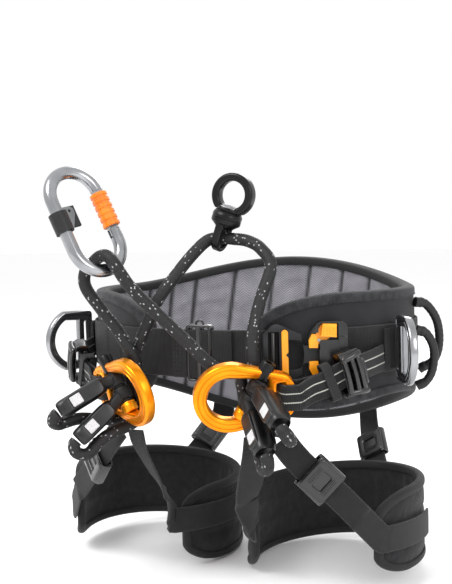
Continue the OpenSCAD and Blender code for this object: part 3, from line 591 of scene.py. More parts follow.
M = {
    "lining": lining_material(),
    "shell": shell_material(),
    "tape": tape_material(),
    "fleece": fleece_material("edge_fleece", rgb(0.052, 0.054, 0.059), rgb(0.21, 0.213, 0.225)),
    "webbing": webbing_material("black_webbing", rgb(0.02, 0.021, 0.024), rgb(0.092, 0.094, 0.1)),
    "tracer": webbing_material("tracer_webbing", rgb(0.025, 0.026, 0.028), rgb(0.104, 0.105, 0.111),
                               tracers=(-4.3, 4.3), width=25, pitch=1.1),
    "leg_webbing": webbing_material("leg_webbing", rgb(0.02, 0.021, 0.024), rgb(0.092, 0.094, 0.1),
                                    width=25, pitch=1.3),
    "rope": rope_material(),
    "label": label_material(),
    "gold": metal_material("gold_aluminium", rgb(0.98, 0.56, 0.015), rgb(1.0, 0.63, 0.06), 0.30, 0.75),
    "aluminium": metal_material("bright_aluminium", rgb(0.56, 0.565, 0.575), rgb(0.66, 0.665, 0.675), 0.22),
    "black_metal": metal_material("black_aluminium", rgb(0.026, 0.026, 0.028), rgb(0.056, 0.056, 0.059),
                                  0.30, 0.45),
    "steel": metal_material("pin_steel", rgb(0.60, 0.60, 0.61), rgb(0.75, 0.75, 0.76), 0.30),
    "domed_steel": metal_material("axle_steel", rgb(0.70, 0.70, 0.71), rgb(0.82, 0.82, 0.83),
                                  0.42, 0.75, 0.03),
    "tongue_metal": metal_material("tongue_plate", rgb(0.126, 0.127, 0.133), rgb(0.25, 0.253, 0.26),
                                   0.36, 0.6),
    "casing": plastic_material("casing_plastic", rgb(0.037, 0.038, 0.042), rgb(0.092, 0.095, 0.102),
                               0.30, coat=0.25),
    "strap_plastic": plastic_material("strap_plastic", rgb(0.02, 0.02, 0.022), rgb(0.056, 0.056, 0.059),
                                      0.20, coat=0.5),
    "cover": plastic_material("cover_plastic", rgb(0.033, 0.034, 0.037), rgb(0.085, 0.087, 0.092), 0.34),
    "panel": plastic_material("cover_panel", rgb(0.074, 0.075, 0.08), rgb(0.137, 0.138, 0.144), 0.32),
    "roller": plastic_material("roller_black", rgb(0.015, 0.015, 0.017), rgb(0.037, 0.037, 0.041),
                               0.30, coat=0.2),
    "spacer": plastic_material("spacer_plastic", rgb(0.044, 0.044, 0.046), rgb(0.089, 0.089, 0.092), 0.40),
    "gear_tube": plastic_material("gear_tube", rgb(0.026, 0.027, 0.03), rgb(0.074, 0.076, 0.081),
                                  0.55, grain=0.8, depth=0.06),
    "clip": plastic_material("clip_plastic", rgb(0.025, 0.025, 0.027), rgb(0.056, 0.056, 0.059), 0.45),
    "clip_plate": plastic_material("clip_plate", rgb(0.36, 0.365, 0.37), rgb(0.46, 0.465, 0.47), 0.42),
    "orange": plastic_material("lever_orange", rgb(1.0, 0.60, 0.02), rgb(1.0, 0.67, 0.07), 0.40, coat=0.15),
    "sleeve": plastic_material("sleeve_orange", rgb(0.91, 0.44, 0.01), rgb(0.96, 0.52, 0.04),
                               0.30, coat=0.25),
    "leg_fabric": fleece_material("leg_fabric", rgb(0.041, 0.041, 0.046), rgb(0.118, 0.12, 0.13)),
    "thread": plastic_material("sewing_thread", rgb(0.074, 0.074, 0.078), rgb(0.22, 0.22, 0.23),
                               0.7, grain=0.4),
}


# ---------------------------------------------------------------- the belt's surface

HALF_WIDTH, HALF_DEPTH = 158.0, 116.0     # to the lining's inner face
LINING, SHELL_FROM, SHELL_TO = 7.0, 7.3, 10.5
WAIST_LAYER = 12.65                       # middle of the waist webbing
FRONT_LAYER = 13.1                        # middle of the front webbing
WING_TOP, BACK_RISE, BACK_DROP, NOSE = 54.0, 25.0, 52.0, 22.0
FRONT_EDGE, TOP_REACH, BOTTOM_REACH = 161.0, 128.0, 136.0


def belt_point(angle, out, z):
    """Around by angle (0 front, 90 the wearer's left), out by layer, up."""
    a, out, z = np.broadcast_arrays(np.radians(angle), out, z)
    return np.stack([(HALF_WIDTH + out) * np.sin(a), -(HALF_DEPTH + out) * np.cos(a), z], axis=-1)


def belt_out(angle):
    """Direction straight out of the belt's surface."""
    a = np.radians(angle)
    return unit(np.stack([HALF_DEPTH * np.sin(a), -HALF_WIDTH * np.cos(a), 0 * a], axis=-1))


def turn_curve(angle, reach):
    t = np.clip((abs(angle - 180) - reach) / (FRONT_EDGE - reach), 0, 1)
    return 1 - np.sqrt(1 - t * t)


def belt_top(angle):
    """Height of the belt's upper edge at an angle."""
    swell = np.cos(np.radians(90 * np.minimum(1, abs(angle - 180) / 75))) ** 2
    return WING_TOP + BACK_RISE * swell - (WING_TOP - NOSE) * turn_curve(angle, TOP_REACH)


def belt_bottom(angle):
    """Height of the belt's lower edge at an angle."""
    back = abs(angle - 180)
    drop = np.cos(np.radians(90 * np.minimum(1, back / 90))) ** 2
    hollow = np.sin(np.radians(2 * np.clip(back - 60, 0, 90))) ** 2
    return -WING_TOP - BACK_DROP * drop + 9 * hollow + (WING_TOP - NOSE) * turn_curve(angle, BOTTOM_REACH)


FINE = np.linspace(0, 360, 1441)
FINE_LENGTH = distances(belt_point(FINE, 6, 0))


def length_at(angle):
    """Distance round the belt at an angle."""
    return np.interp(angle, FINE, FINE_LENGTH)


def angle_at(length):
    """Angle at a distance round the belt."""
    return np.interp(length, FINE_LENGTH, FINE)


EDGE = 1.3        # the binding's thickness over the raw edge
BAND = 9.5        # how far the binding reaches over each face


def belt_sheet(columns, rows, margin=EDGE):
    """A lattice over the padding: angle and height of each point, inside the binding."""
    shrink = math.degrees(margin / 130)
    angles = np.linspace(180 - FRONT_EDGE + shrink, 180 + FRONT_EDGE - shrink, columns)
    share = np.linspace(0, 1, rows)
    low, high = belt_bottom(angles) + margin, belt_top(angles) - margin
    z = low[:, None] + share[None, :] * (high - low)[:, None]
    return np.repeat(angles[:, None], rows, axis=1), z


def surface_lay(angle, z, out=0.0):
    return np.stack([length_at(angle), z, np.broadcast_to(out, z.shape)], axis=-1)


CHANNELS = (224.7, 207.6, 191.3, 175.5, 159.9, 144.9, 128.0, 112.0, 248.0, 236.0)
CHANNEL_LEAN = -0.055   # degrees round the belt for each millimetre up
PANEL_PUFF = 4.5        # the most that a panel swells inwards


def channel_distance(angle, z):
    """Distance along the belt from the nearest stitched channel."""
    at = np.stack([length_at(c + CHANNEL_LEAN * z) for c in CHANNELS])
    return np.abs(at - length_at(angle)).min(axis=0)


def inflate(obj, pinned, pressure, cap, slack=0.02, frames=20):
    """Lets the cloth swell under pressure, held where pinned is 1, and keeps the result within cap."""
    rest = np.array([v.co for v in obj.data.vertices])
    group = obj.vertex_groups.new(name="sewn")
    for i in np.nonzero(pinned > 0.01)[0]:
        group.add([int(i)], float(pinned[i]), "REPLACE")
    cloth = obj.modifiers.new("swell", "CLOTH")
    cloth.settings.vertex_group_mass = "sewn"
    cloth.settings.quality = 5
    cloth.settings.mass = 0.25
    cloth.settings.tension_stiffness = 22
    cloth.settings.compression_stiffness = 18
    cloth.settings.bending_stiffness = 0.6
    cloth.settings.use_pressure = True
    cloth.settings.uniform_pressure_force = pressure
    cloth.settings.shrink_min = -slack
    cloth.settings.effector_weights.gravity = 0
    cloth.collision_settings.use_collision = False
    scene = bpy.context.scene
    for f in range(1, frames + 1):
        scene.frame_set(f)
    graph = bpy.context.evaluated_depsgraph_get()
    swollen = obj.evaluated_get(graph).to_mesh()
    now = np.array([v.co for v in swollen.vertices])
    obj.modifiers.remove(cloth)
    moved = now - rest
    size = np.linalg.norm(moved, axis=1, keepdims=True)
    moved *= np.minimum(1, cap * MM / np.maximum(size, 1e-9))
    obj.data.vertices.foreach_set("co", (rest + moved).astype(np.float32).ravel())
    obj.data.update()
    scene.frame_set(1)


def smooth_share(value, low, high):
    """0 below low, 1 above high, and a smooth step between them."""
    t = np.clip((value - low) / (high - low), 0, 1)
    return t * t * (3 - 2 * t)


def quilt(name, inner, outer, columns, rows, material, lay):
    """A closed pad between two lattices of columns by rows points."""
    faces = grid_faces(columns, rows, around=False, ends=False)
    count = columns * rows
    faces += [tuple(count + i for i in f[::-1]) for f in faces]
    first, last = list(range(rows)), list(range((columns - 1) * rows, count))
    low = list(range(rows, count - rows, rows))
    high = list(range(2 * rows - 1, count - rows, rows))
    rim = low + last + high[::-1] + first[::-1]
    faces += [(a, b, count + b, count + a) for a, b in zip(rim, rim[1:] + rim[:1])]
    return outward(build(name, np.vstack([inner, outer]), faces, material,
                         lay=np.vstack([lay, lay]), sharp=70))


def make_lining():
    """Spacer-mesh lining: panels between stitched channels, swollen inwards over a flat back."""
    columns, rows = 330, 40
    angle, z = belt_sheet(columns, rows)
    away = channel_distance(angle, z)
    to_edge = np.minimum(belt_top(angle) - z, z - belt_bottom(angle))
    valley = 1 - smooth_share(away, 0.8, 3.4)
    front = belt_point(angle, 1.0 + 2.6 * valley, z).reshape(-1, 3)
    # The third lay value fades in away from the stitched channels; the lining material paints shade in the
    # channel valleys with it.
    lay = surface_lay(angle, z, smooth_share(away, -1, 5.5)).reshape(-1, 3)
    sheet = build("belt_lining_front", front, grid_faces(columns, rows, around=False, ends=False),
                  M["lining"], lay=lay)
    pinned = np.maximum(away < 1.7, to_edge < BAND - 1).astype(float)
    pinned[[0, 1, -2, -1]] = 1
    if np.dot(sheet.data.polygons[columns // 2].normal, belt_out(float(angle[columns // 2, 0]))) > 0:
        sheet.data.flip_normals()
    inflate(sheet, pinned.ravel(), 2.4, PANEL_PUFF)
    front = np.array([v.co for v in sheet.data.vertices]) / MM
    bpy.data.objects.remove(sheet)
    back = belt_point(angle, LINING, z).reshape(-1, 3)
    pad = quilt("lining_pad", front, back, columns, rows, M["lining"], lay)
    smooth = pad.modifiers.new("fine", "SUBSURF")
    smooth.levels = smooth.render_levels = 1
    place(pad, "saddle", "belt_lining_pad", slot="lining_mesh")
    rows_of_stitches = []
    for c in CHANNELS:
        zs = np.arange(float(belt_bottom(np.array(c))) + 10, float(belt_top(np.array(c))) - 9, 1.5)
        for side in (-1, 1):
            at = angle_at(length_at(c + CHANNEL_LEAN * zs) + side * 0.9)
            rows_of_stitches.append((belt_point(at, 3.3, zs), -belt_out(at)))
    place(stitches("channel_stitches", rows_of_stitches, M["thread"]), "saddle", slot="lining_mesh")


def make_shell():
    """Woven outer shell, slightly quilted along the border and creased over the hips."""
    columns, rows = 300, 36
    angle, z = belt_sheet(columns, rows)
    to_edge = np.minimum(belt_top(angle) - z, z - belt_bottom(angle))
    s = length_at(angle)
    crease = 0.22 * np.sin(z / 5.3 + 0.02 * s) * np.sin(s / 23 + z / 31) + 0.18 * np.sin(s / 9 - z / 13)
    crown = 0.5 * smooth_share(to_edge, BAND, BAND + 10) + crease * smooth_share(to_edge, BAND + 1, BAND + 14)
    front = belt_point(angle, SHELL_TO - 0.35 + crown, z).reshape(-1, 3)
    back = belt_point(angle, SHELL_FROM, z).reshape(-1, 3)
    lay = surface_lay(angle, z).reshape(-1, 3)
    shell = quilt("outer_shell", front, back, columns, rows, M["shell"], lay)
    place(shell, "saddle", "belt_outer_shell", slot="shell_fabric")


def edge_loop(spacing=2.4):
    """The padding's outline as (distance round the belt, height), anticlockwise seen from inside."""
    angles = 180 + FRONT_EDGE * np.sin(np.radians(np.linspace(-90, 90, 500)))
    top = np.stack([length_at(angles), belt_top(angles)], axis=1)
    bottom = np.stack([length_at(angles), belt_bottom(angles)], axis=1)[::-1]
    return resample(np.vstack([bottom, top, bottom[:1]]), spacing)[0][:-1]


def belt_binding_section():
    """The folded edge: (layer out, depth from the edge, share of the tape), round the edge."""
    inner = [(0.55, BAND), (-0.4, BAND - 0.4), (-1.9, 7.2), (-2.5, 4.8), (-2.2, 2.6), (-1.0, 0.9)]
    crest = [(1.4, -0.1), (4.6, -0.5), (8.0, -0.25), (10.3, 0.6)]
    outer = [(11.25, 2.0), (11.45, 4.2), (11.45, 6.8), (11.3, 8.6), (10.95, BAND)]
    inside = [(10.3, BAND), (10.3, 1.5), (0.6, 1.5)]
    return inner, crest, outer, inside


def folded_tape(name, loop, section, point, materials, which=None, mirror=False):
    """Tape folded over an edge. loop is (distance, height) round it; point places (distance, out, up)."""
    ahead = np.roll(loop, -1, axis=0) - np.roll(loop, 1, axis=0)
    inward = unit(np.stack([-ahead[:, 1], ahead[:, 0]], axis=1))
    if signed_area(loop) < 0:
        inward = -inward
    spot = loop[:, None] + inward[:, None] * section[None, :, 1:2]
    verts = point(spot[..., 0], section[None, :, 0], spot[..., 1])
    rows, cols = len(loop), len(section)
    wraps = [(i * cols + j, i * cols + (j + 1) % cols, (i + 1) % rows * cols + (j + 1) % cols,
              (i + 1) % rows * cols + j) for i in range(rows) for j in range(cols)]
    lay = np.zeros_like(verts)
    lay[..., 0] = distances(np.vstack([loop, loop[:1]]))[:-1, None]
    lay[..., 1] = distances(section)[None, :]
    tape = outward(build(name, verts, wraps, materials, which=which, lay=lay.reshape(-1, 3), mirror=mirror,
                         sharp=80))
    smooth = tape.modifiers.new("fine", "SUBSURF")
    smooth.levels = smooth.render_levels = 1
    return tape, inward


def make_binding():
    """One folded tape right round the belt: brushed fabric outside, ribbed tape inside."""
    loop = edge_loop()
    inner, crest, outer, inside = belt_binding_section()
    section = np.array(inner + crest + outer + inside)
    first_outer = len(inner) + 2
    fleece = range(first_outer, first_outer + len(outer) + 2)
    which = [int(j in fleece) for _ in range(len(loop)) for j in range(len(section))]
    tape, inward = folded_tape("belt_binding", loop, section,
                               lambda s, out, up: belt_point(angle_at(s), out, up),
                               [M["tape"], M["fleece"]], which=which)
    place(tape, "saddle", "belt_binding_top", "belt_binding_bottom", slot="binding_tape")
    lines = []
    for depth, out, sign in ((BAND - 1.3, 11.5, 1), (BAND - 1.4, -0.9, -1)):
        spot = loop + inward * depth
        angle = angle_at(spot[:, 0])
        lines.append((belt_point(angle, out, spot[:, 1]), sign * belt_out(angle)))
    place(stitches("binding_stitches", lines, M["thread"]), "saddle", slot="binding_tape")


def belt_webbing(name, start, stop, layer, width, material, steps=160):
    """A length of webbing round the belt between two angles, on one of its layers."""
    angles = np.linspace(start, stop, steps)
    return webbing(name, belt_point(angles, layer, 0), [UP, UP], width, 2.4, material)


def make_waist_webbing():
    """The 45 mm webbing round the belt, with its bar tacks."""
    strap = belt_webbing("waist_webbing_strap", 42, 327.2, WAIST_LAYER, 45, M["webbing"], 400)
    place(strap, "saddle", "waist_webbing", slot="black_webbing")
    lines = []
    for angle in (48, 53, 59, 318, 301, 290, 120, 150, 180, 210, 240):
        zs = np.arange(-20, 20.1, 1.5)
        for step in (-0.6, 0.6):
            a = np.full(len(zs), angle + step)
            lines.append((belt_point(a, WAIST_LAYER + 1.35, zs), belt_out(a)))
    place(stitches("waist_bar_tacks", lines, M["thread"]), "saddle", slot="black_webbing")


# ---------------------------------------------------------------- side D-rings and their tabs

D_ANGLE = 72
D_OUT = unit([(HALF_DEPTH + 13.2) * math.sin(math.radians(D_ANGLE)),
              -(HALF_WIDTH + 13.2) * math.cos(math.radians(D_ANGLE)), 0])
D_PIVOT = belt_point(D_ANGLE, 13.85, 0) + D_OUT * 6.2
D_REST = math.radians(-60)
D_AXES = Axes(D_PIVOT, [math.cos(D_REST), math.sin(D_REST), 0], UP, [math.sin(D_REST), -math.cos(D_REST), 0])


def make_d_ring(side, mirror):
    """Forged D-ring: a rounded bow with a groove round its face, and a bar for the webbing tab."""
    outer = arc(18, 0, 34, -66, 66, 40) + arc(4, 26, 5, 90, 180, 6) + arc(4, -26, 5, 180, 270, 6)
    opening = arc(18, 0, 25, -60, 60, 36) + [(16, 21), (16, -21)]
    slot = rounded_box(6, 40, 2.5)
    slot = [(x + 6, y) for x, y in slot]
    groove = [(4.6, 4.0), (4.3, 3.4), (3.7, 3.4), (3.4, 4.0)]
    levels = groove + rounding(4, 2.6, 5) + [(i, -h) for i, h in reversed(groove)]
    ring = plate("d_ring_bow_" + side, outer, [opening, slot], levels, M["aluminium"], D_AXES,
                 hole_levels=rounding(4, 2.2, 4), mirror=mirror)
    place(ring, "d_ring_" + side, "d_ring_" + side, slot="bright_aluminium")


def make_d_tab(side, mirror):
    """Webbing folded round the D-ring's bar and sewn down on the waist webbing."""
    x = D_OUT
    y = np.cross(UP, x)
    axes = Axes([D_PIVOT[0], D_PIVOT[1], 0], x, y, UP)
    outer, inner = 5.1, 3.5
    loop = arc(0, 0, (outer + inner) / 2, -115, 115, 20)
    path = [(-4.7, -17, 0), (-4.7, -9, 0)] + [(px, py, 0) for px, py in loop] + [(-4.7, 9, 0), (-4.7, 17, 0)]
    world = axes(curve(path[:2], 3).tolist() + [list(p) for p in path[2:-2]] + curve(path[-2:], 3).tolist())
    tab = webbing("d_ring_tab_" + side, world, [UP, UP], 38, 1.5, M["webbing"], mirror=mirror, spacing=1.0)
    place(tab, "saddle", "d_ring_tabs", slot="black_webbing")
    lines = []
    for y_at in (-15.5, -12.5, 12.5, 15.5):
        zs = np.arange(-17, 17.1, 1.5)
        points = axes(np.stack([np.full(len(zs), -3.85), np.full(len(zs), y_at), zs], axis=1))
        lines.append((points, np.broadcast_to(x, points.shape)))
    place(stitches("d_tab_stitches_" + side, lines, M["thread"], mirror=mirror), "saddle",
          slot="black_webbing")


# ---------------------------------------------------------------- gated side rings

TURN, LEAN = math.radians(30), math.radians(15)
RING_AT = np.array([93, -140.5, -32.6])
RING_U = np.array([math.cos(TURN), math.sin(TURN), 0])
RING_V = np.array([math.sin(TURN) * math.cos(LEAN), -math.cos(TURN) * math.cos(LEAN), -math.sin(LEAN)])
RING_W = np.array([math.sin(TURN) * math.sin(LEAN), -math.cos(TURN) * math.sin(LEAN), math.cos(LEAN)])
RING = Axes(RING_AT, RING_U, RING_V, RING_W)          # u outboard, v outwards, w up
RING_FLAT = Axes(RING_AT, RING_U, RING_W, RING_V)     # x to u, y to w, z to v
BAR_FROM, BAR_TO = np.array([-39.5, -17.6]), np.array([-18.0, 26.0])
BAR_DIR = unit(BAR_TO - BAR_FROM)
BAR = Axes(RING([BAR_FROM[0], 0, BAR_FROM[1]]), RING_U * BAR_DIR[1] - RING_W * BAR_DIR[0], RING_V,
           RING_U * BAR_DIR[0] + RING_W * BAR_DIR[1])
BOW, BOW_R, BOW_HOLE = -50, 32.5, 20


def bar_centre(s):
    u, w = BAR_FROM + BAR_DIR * s
    return np.array([u, 0, w])


def make_ring_body(side, mirror):
    """Open bow of anodised aluminium with lines cut along both edges, and its pivot bar."""
    outer = arc(BOW, 0, BOW_R, 75, 280, 60) + arc(-5, -12, 10, 280, 360, 8) + arc(-5, 12, 10, 0, 75, 8)
    lobe = arc(BOW, 0, BOW_HOLE, 80, 280, 50) + arc(-18, -16, 2, 270, 360, 3) + arc(-18, 16, 2, 0, 90, 3)
    slot = [(x - 3.6, y) for x, y in rounded_box(10.8, 27, 2)]
    edge = rounding(5.5, 2.6, 6)
    cut = [(4.9, 5.5), (4.55, 4.9), (4.05, 4.9), (3.7, 5.5)]
    levels = cut + edge + [(i, -h) for i, h in reversed(cut)]
    rim = rounding(5.5, 2.4, 5)
    rim_cut = [(4.2, 5.5), (3.9, 5.0), (3.4, 5.0), (3.1, 5.5)]
    hole_levels = rim_cut + rim + [(i, -h) for i, h in reversed(rim_cut)]
    body = plate("gated_ring_bow_" + side, outer, [lobe, slot], levels, M["gold"], RING_FLAT,
                 hole_levels=hole_levels, mirror=mirror)
    place(body, "gated_ring_" + side, "ring_body_" + side, slot="gold_aluminium")
    pivot = Axes(RING_AT - RING_W * 14.5, RING_U, RING_V, RING_W)
    bar = lathe("gated_ring_pivot_" + side, [(0.1, 0), (4.5, 0), (4.5, 29), (0.1, 29)], pivot, M["gold"],
                mirror=mirror)
    place(bar, "gated_ring_" + side, slot="gold_aluminium")
    collar = [(4.45, -3.0), (6.2, -3.0), (7.4, -2.0), (7.6, 3.4), (6.9, 4.6), (7.3, 5.4), (6.9, 6.4),
              (4.45, 6.6), (4.45, -3.0)]
    foot = lathe("gate_bar_foot_" + side, collar, BAR, M["gold"], mirror=mirror)
    place(foot, "gated_ring_" + side, slot="gold_aluminium")


def make_gate_bar(side, mirror):
    """Screw-in bar with a hexagon socket in its head, and the black spacers on it."""
    shank = [(0.1, 0.3), (3.6, 0.3), (4.25, 1.0), (4.25, 38.6), (5.9, 38.8), (6.5, 39.5), (6.5, 54.2),
             (5.9, 55.2), (4.4, 55.4)]
    shaft = lathe("gate_shank_" + side, shank + [(4.2, 54.9), (3.2, 54.9), (3.1, 51.0), (0.1, 51.0)], BAR,
                  M["black_metal"], mirror=mirror)
    place(shaft, "gate_bar_" + side, "gate_bar_" + side, slot="black_aluminium")
    hexagon = arc(0, 0, 3.2, 0, 300, 5)
    head = Axes(BAR([0, 0, 53.4]), BAR.rows[0], BAR.rows[1], BAR.rows[2])
    socket = plate("gate_socket_" + side, arc(0, 0, 4.25, 0, 350, 35), [hexagon],
                   [(0, 1.6), (0, -2.0)], M["black_metal"], head, mirror=mirror)
    place(socket, "gate_bar_" + side, slot="black_aluminium")
    for k, s in enumerate((7.6, 22.2, 35.9)):
        ring = [(4.6, s), (5.7, s), (6.1, s + 0.4), (6.1, s + 1.2), (5.7, s + 1.6), (4.6, s + 1.6), (4.6, s)]
        spacer = lathe(f"bar_spacer_{k + 1}_{side}", ring, BAR, M["spacer"], mirror=mirror)
        place(spacer, "gated_ring_" + side, "bar_spacers_" + side, slot="spacer_plastic")


ROPE_ENDS = ((30, (-23, 10, 9.5), (-13, 57, -1)), (16, (-31, 11, -10), (-25, 52, -29)))
ACROSS_BAR = unit([BAR_DIR[1], 0, -BAR_DIR[0]])


def between(a, b):
    """Axes with z from a towards b and x kept across the gate bar, in the ring's frame."""
    z = unit(np.subtract(b, a))
    x = unit(ACROSS_BAR - z * (ACROSS_BAR @ z))
    y = np.cross(z, x)
    return lambda p: RING(np.asarray(a, float) + np.asarray(p, float) @ np.array([x, y, z]))


def cover_section(width, depth, power=2.7, count=36):
    """Outline between an ellipse and a rectangle, width by depth."""
    t = np.linspace(0, 2 * math.pi, count, endpoint=False)
    halves = ((width / 2, np.cos(t)), (depth / 2, np.sin(t)))
    return np.stack([half * np.sign(c) * abs(c) ** (2 / power) for half, c in halves], 1)


def make_rope_end(k, end, side, mirror):
    """The sewn eye round the bar and the moulded cover over the stitching, with its label."""
    s, near, far = end
    length = float(np.linalg.norm(np.subtract(far, near)))
    axes = between(near, far)
    eye = between(bar_centre(s), near)
    reach = float(np.linalg.norm(np.subtract(near, bar_centre(s))))
    loop = [(4.7, -5.5), (7.4, -5.5), (8.1, -4.3), (8.4, 0), (8.1, 4.3), (7.4, 5.5), (4.7, 5.5), (4.7, -5.5)]
    ring = lathe(f"rope_eye_{k}_{side}", [(r, h + s) for r, h in loop], BAR, M["rope"], mirror=mirror)
    place(ring, "gated_ring_" + side, "rope_eyes_" + side, slot="rope_sheath")
    stations = np.linspace(4, reach + 4, 12)
    necks = [np.column_stack([cover_section(17.5 - 2.0 * math.sin(i / 11 * math.pi), 11.5, 2.6, 24),
                              np.full(24, z)]) for i, z in enumerate(stations)]
    neck = outward(build(f"rope_eye_neck_{k}_{side}", eye(np.vstack(necks)), grid_faces(12, 24), M["rope"],
                         mirror=mirror))
    place(neck, "gated_ring_" + side, slot="rope_sheath")
    profile = [(0, 0.5), (0.7, 0.66), (2, 0.78), (4.2, 0.88), (7.5, 0.95), (12, 1), (length - 8, 1),
               (length - 4, 0.99), (length - 1.5, 0.95), (length, 0.86)]
    rows = [np.column_stack([cover_section(19.2 * k2, 17.4 * k2), np.full(36, z)]) for z, k2 in profile]
    rows += [np.column_stack([cover_section(16.5, 14.5), np.full(36, length - 0.2)]),
             np.column_stack([cover_section(15.5, 13.5), np.full(36, length - 3)])]
    cover = outward(build(f"rope_cover_{k}_{side}", axes(np.vstack(rows)), grid_faces(len(rows), 36),
                          M["cover"], mirror=mirror, sharp=50))
    place(cover, "gated_ring_" + side, "rope_covers_" + side, slot="cover_plastic")
    window = length * 36 / 56
    for face, sign in (("a", 1), ("b", -1)):
        def on_face(p, sign=sign):
            p = np.asarray(p, float)
            return axes(np.stack([sign * (9.35 + p[..., 2]), p[..., 1], p[..., 0]], axis=-1))
        outline = [(x + length / 2 - 0.5, y) for x, y in rounded_box(length - 9, 13.4, 5)]
        hole = [(x + window, y) for x, y in rounded_box(11.6, 10.8, 1.6)]
        panel = plate(f"cover_panel_{k}{face}_{side}", outline, [hole],
                      [(1.0, 1.15), (0.4, 1.0), (0, 0.5), (0, -1.2)], M["panel"], on_face, mirror=mirror)
        place(panel, "gated_ring_" + side, slot="cover_plastic")
        blank = [(x + window, y) for x, y in rounded_box(10.8, 10, 1)]
        tag = plate(f"cover_label_{k}{face}_{side}", blank, [],
                    [(0.5, 0.75), (0.1, 0.62), (0, -0.1)], M["label"], on_face, mirror=mirror)
        place(tag, "gated_ring_" + side, "cover_labels_" + side, slot="label_fabric")


# ---------------------------------------------------------------- rope bridges

ROPE_RADIUS, STRANDS, PLAIT = 5.5, 16, 2.6
ROPE_SIDES = 64
FLECK_CYCLE = 97      # strands before the pattern of pale threads repeats
UPPER_END = [
    (110, -196.5, -50), (113, -198, -53), (116, -195, -59), (115, -188, -62), (112, -183, -61),
    (103, -171, -59), (91, -154, -62), (81, -140, -64), (72, -134, -59), (65, -133, -44), (65, -138, -26),
    (64, -145, -7)]
LOWER_END = [
    (94, -191.5, -75.5), (96, -193, -79), (95, -191, -86), (90, -186, -89), (86, -181, -87),
    (77, -169, -75), (65, -149, -68), (58, -141, -62), (53, -139, -48), (53, -145, -28), (51, -152, -9)]
SWIVEL_MIDDLE = [
    (-56, -146, 1), (-47, -148, 16), (-31, -144, 50), (-17, -131, 74), (-6, -118, 92), (5, -109, 104),
    (17, -105, 106), (30, -105, 105), (45, -107, 103), (60, -112, 96), (72, -118, 80), (66, -130, 50),
    (62, -141, 18)]
CARABINER_MIDDLE = [
    (-52, -158, 2), (-65, -162, 25), (-79, -167, 45), (-91, -171, 64), (-90, -173, 78), (-80, -175, 87),
    (-67, -180, 93.5), (-53, -187, 90), (-38, -182, 66), (-16, -175, 42), (8, -168, 18), (34, -160, -8)]


def braid(path, at):
    """Surface points of a plaited sheath, with each point's height and fleck for the material."""
    turns = np.linspace(0, 2 * math.pi, ROPE_SIDES, endpoint=False)
    one = STRANDS * turns[None] / (2 * math.pi) + at[:, None] / PLAIT
    two = STRANDS * turns[None] / (2 * math.pi) - at[:, None] / PLAIT
    height = np.abs(np.sin(math.pi * one) * np.sin(math.pi * two)) ** 0.6
    middle = (np.abs(one % 1 - 0.5) < 0.36) & (np.abs(two % 1 - 0.5) < 0.36)
    chance = np.random.default_rng(5).random((STRANDS, FLECK_CYCLE))
    strand, place_on_strand = np.floor(one).astype(int) % STRANDS, np.floor(two).astype(int) % FLECK_CYCLE
    pale = middle & (chance[strand, place_on_strand] > 0.95)
    size = ROPE_RADIUS - 0.45 + 0.8 * height
    verts = tube_points(path, UP, size, ROPE_SIDES)
    # The height goes to the material, which paints lighter crests as highlight and darker hollows as shade
    # from it.
    return verts, np.stack([height, pale.astype(float), 0 * height], axis=-1)


def make_rope(node, middle, end, apex):
    """One bridge, in two halves that meet where it carries its connector."""
    route = np.vstack([flip(end), middle, end[::-1]])
    path, at = resample(curve(route, 12), 0.75)
    verts, lay = braid(path, at)
    split = int(np.argmin(np.linalg.norm(path - apex, axis=1)))
    for side, rows in (("left", slice(0, split + 1)), ("right", slice(split, len(path)))):
        count = len(path[rows])
        half = outward(build(f"{node}_{side}_half", verts[rows], grid_faces(count, ROPE_SIDES), M["rope"],
                             lay=lay[rows].reshape(-1, 3), sharp=180))
        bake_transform(half)
        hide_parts(node)


# ---------------------------------------------------------------- side straps and their hardware

SIDE_REAR = [(157, -57, -8), (153, -76, -10), (145, -97, -13), (132, -112, -19), (119, -121, -26)]
SIDE_FRONT = [(115, -131, -28), (125, -124, -24), (136, -114, -17), (147, -100, -12)]


def standing(at, turn, lean):
    """Axes with x along a strap, y up across it and z outwards."""
    t, k = math.radians(turn), math.radians(lean)
    x = np.array([math.cos(t) * math.cos(k), math.sin(t) * math.cos(k), -math.sin(k)])
    out = np.array([math.sin(t), -math.cos(t), 0])
    return Axes(at, x, np.cross(out, x), out)


def across_strap(axes):
    """The same place with x up the strap's width, y outwards and z along the strap."""
    x, y, z = axes.rows
    return Axes(axes.origin, y, z, x)


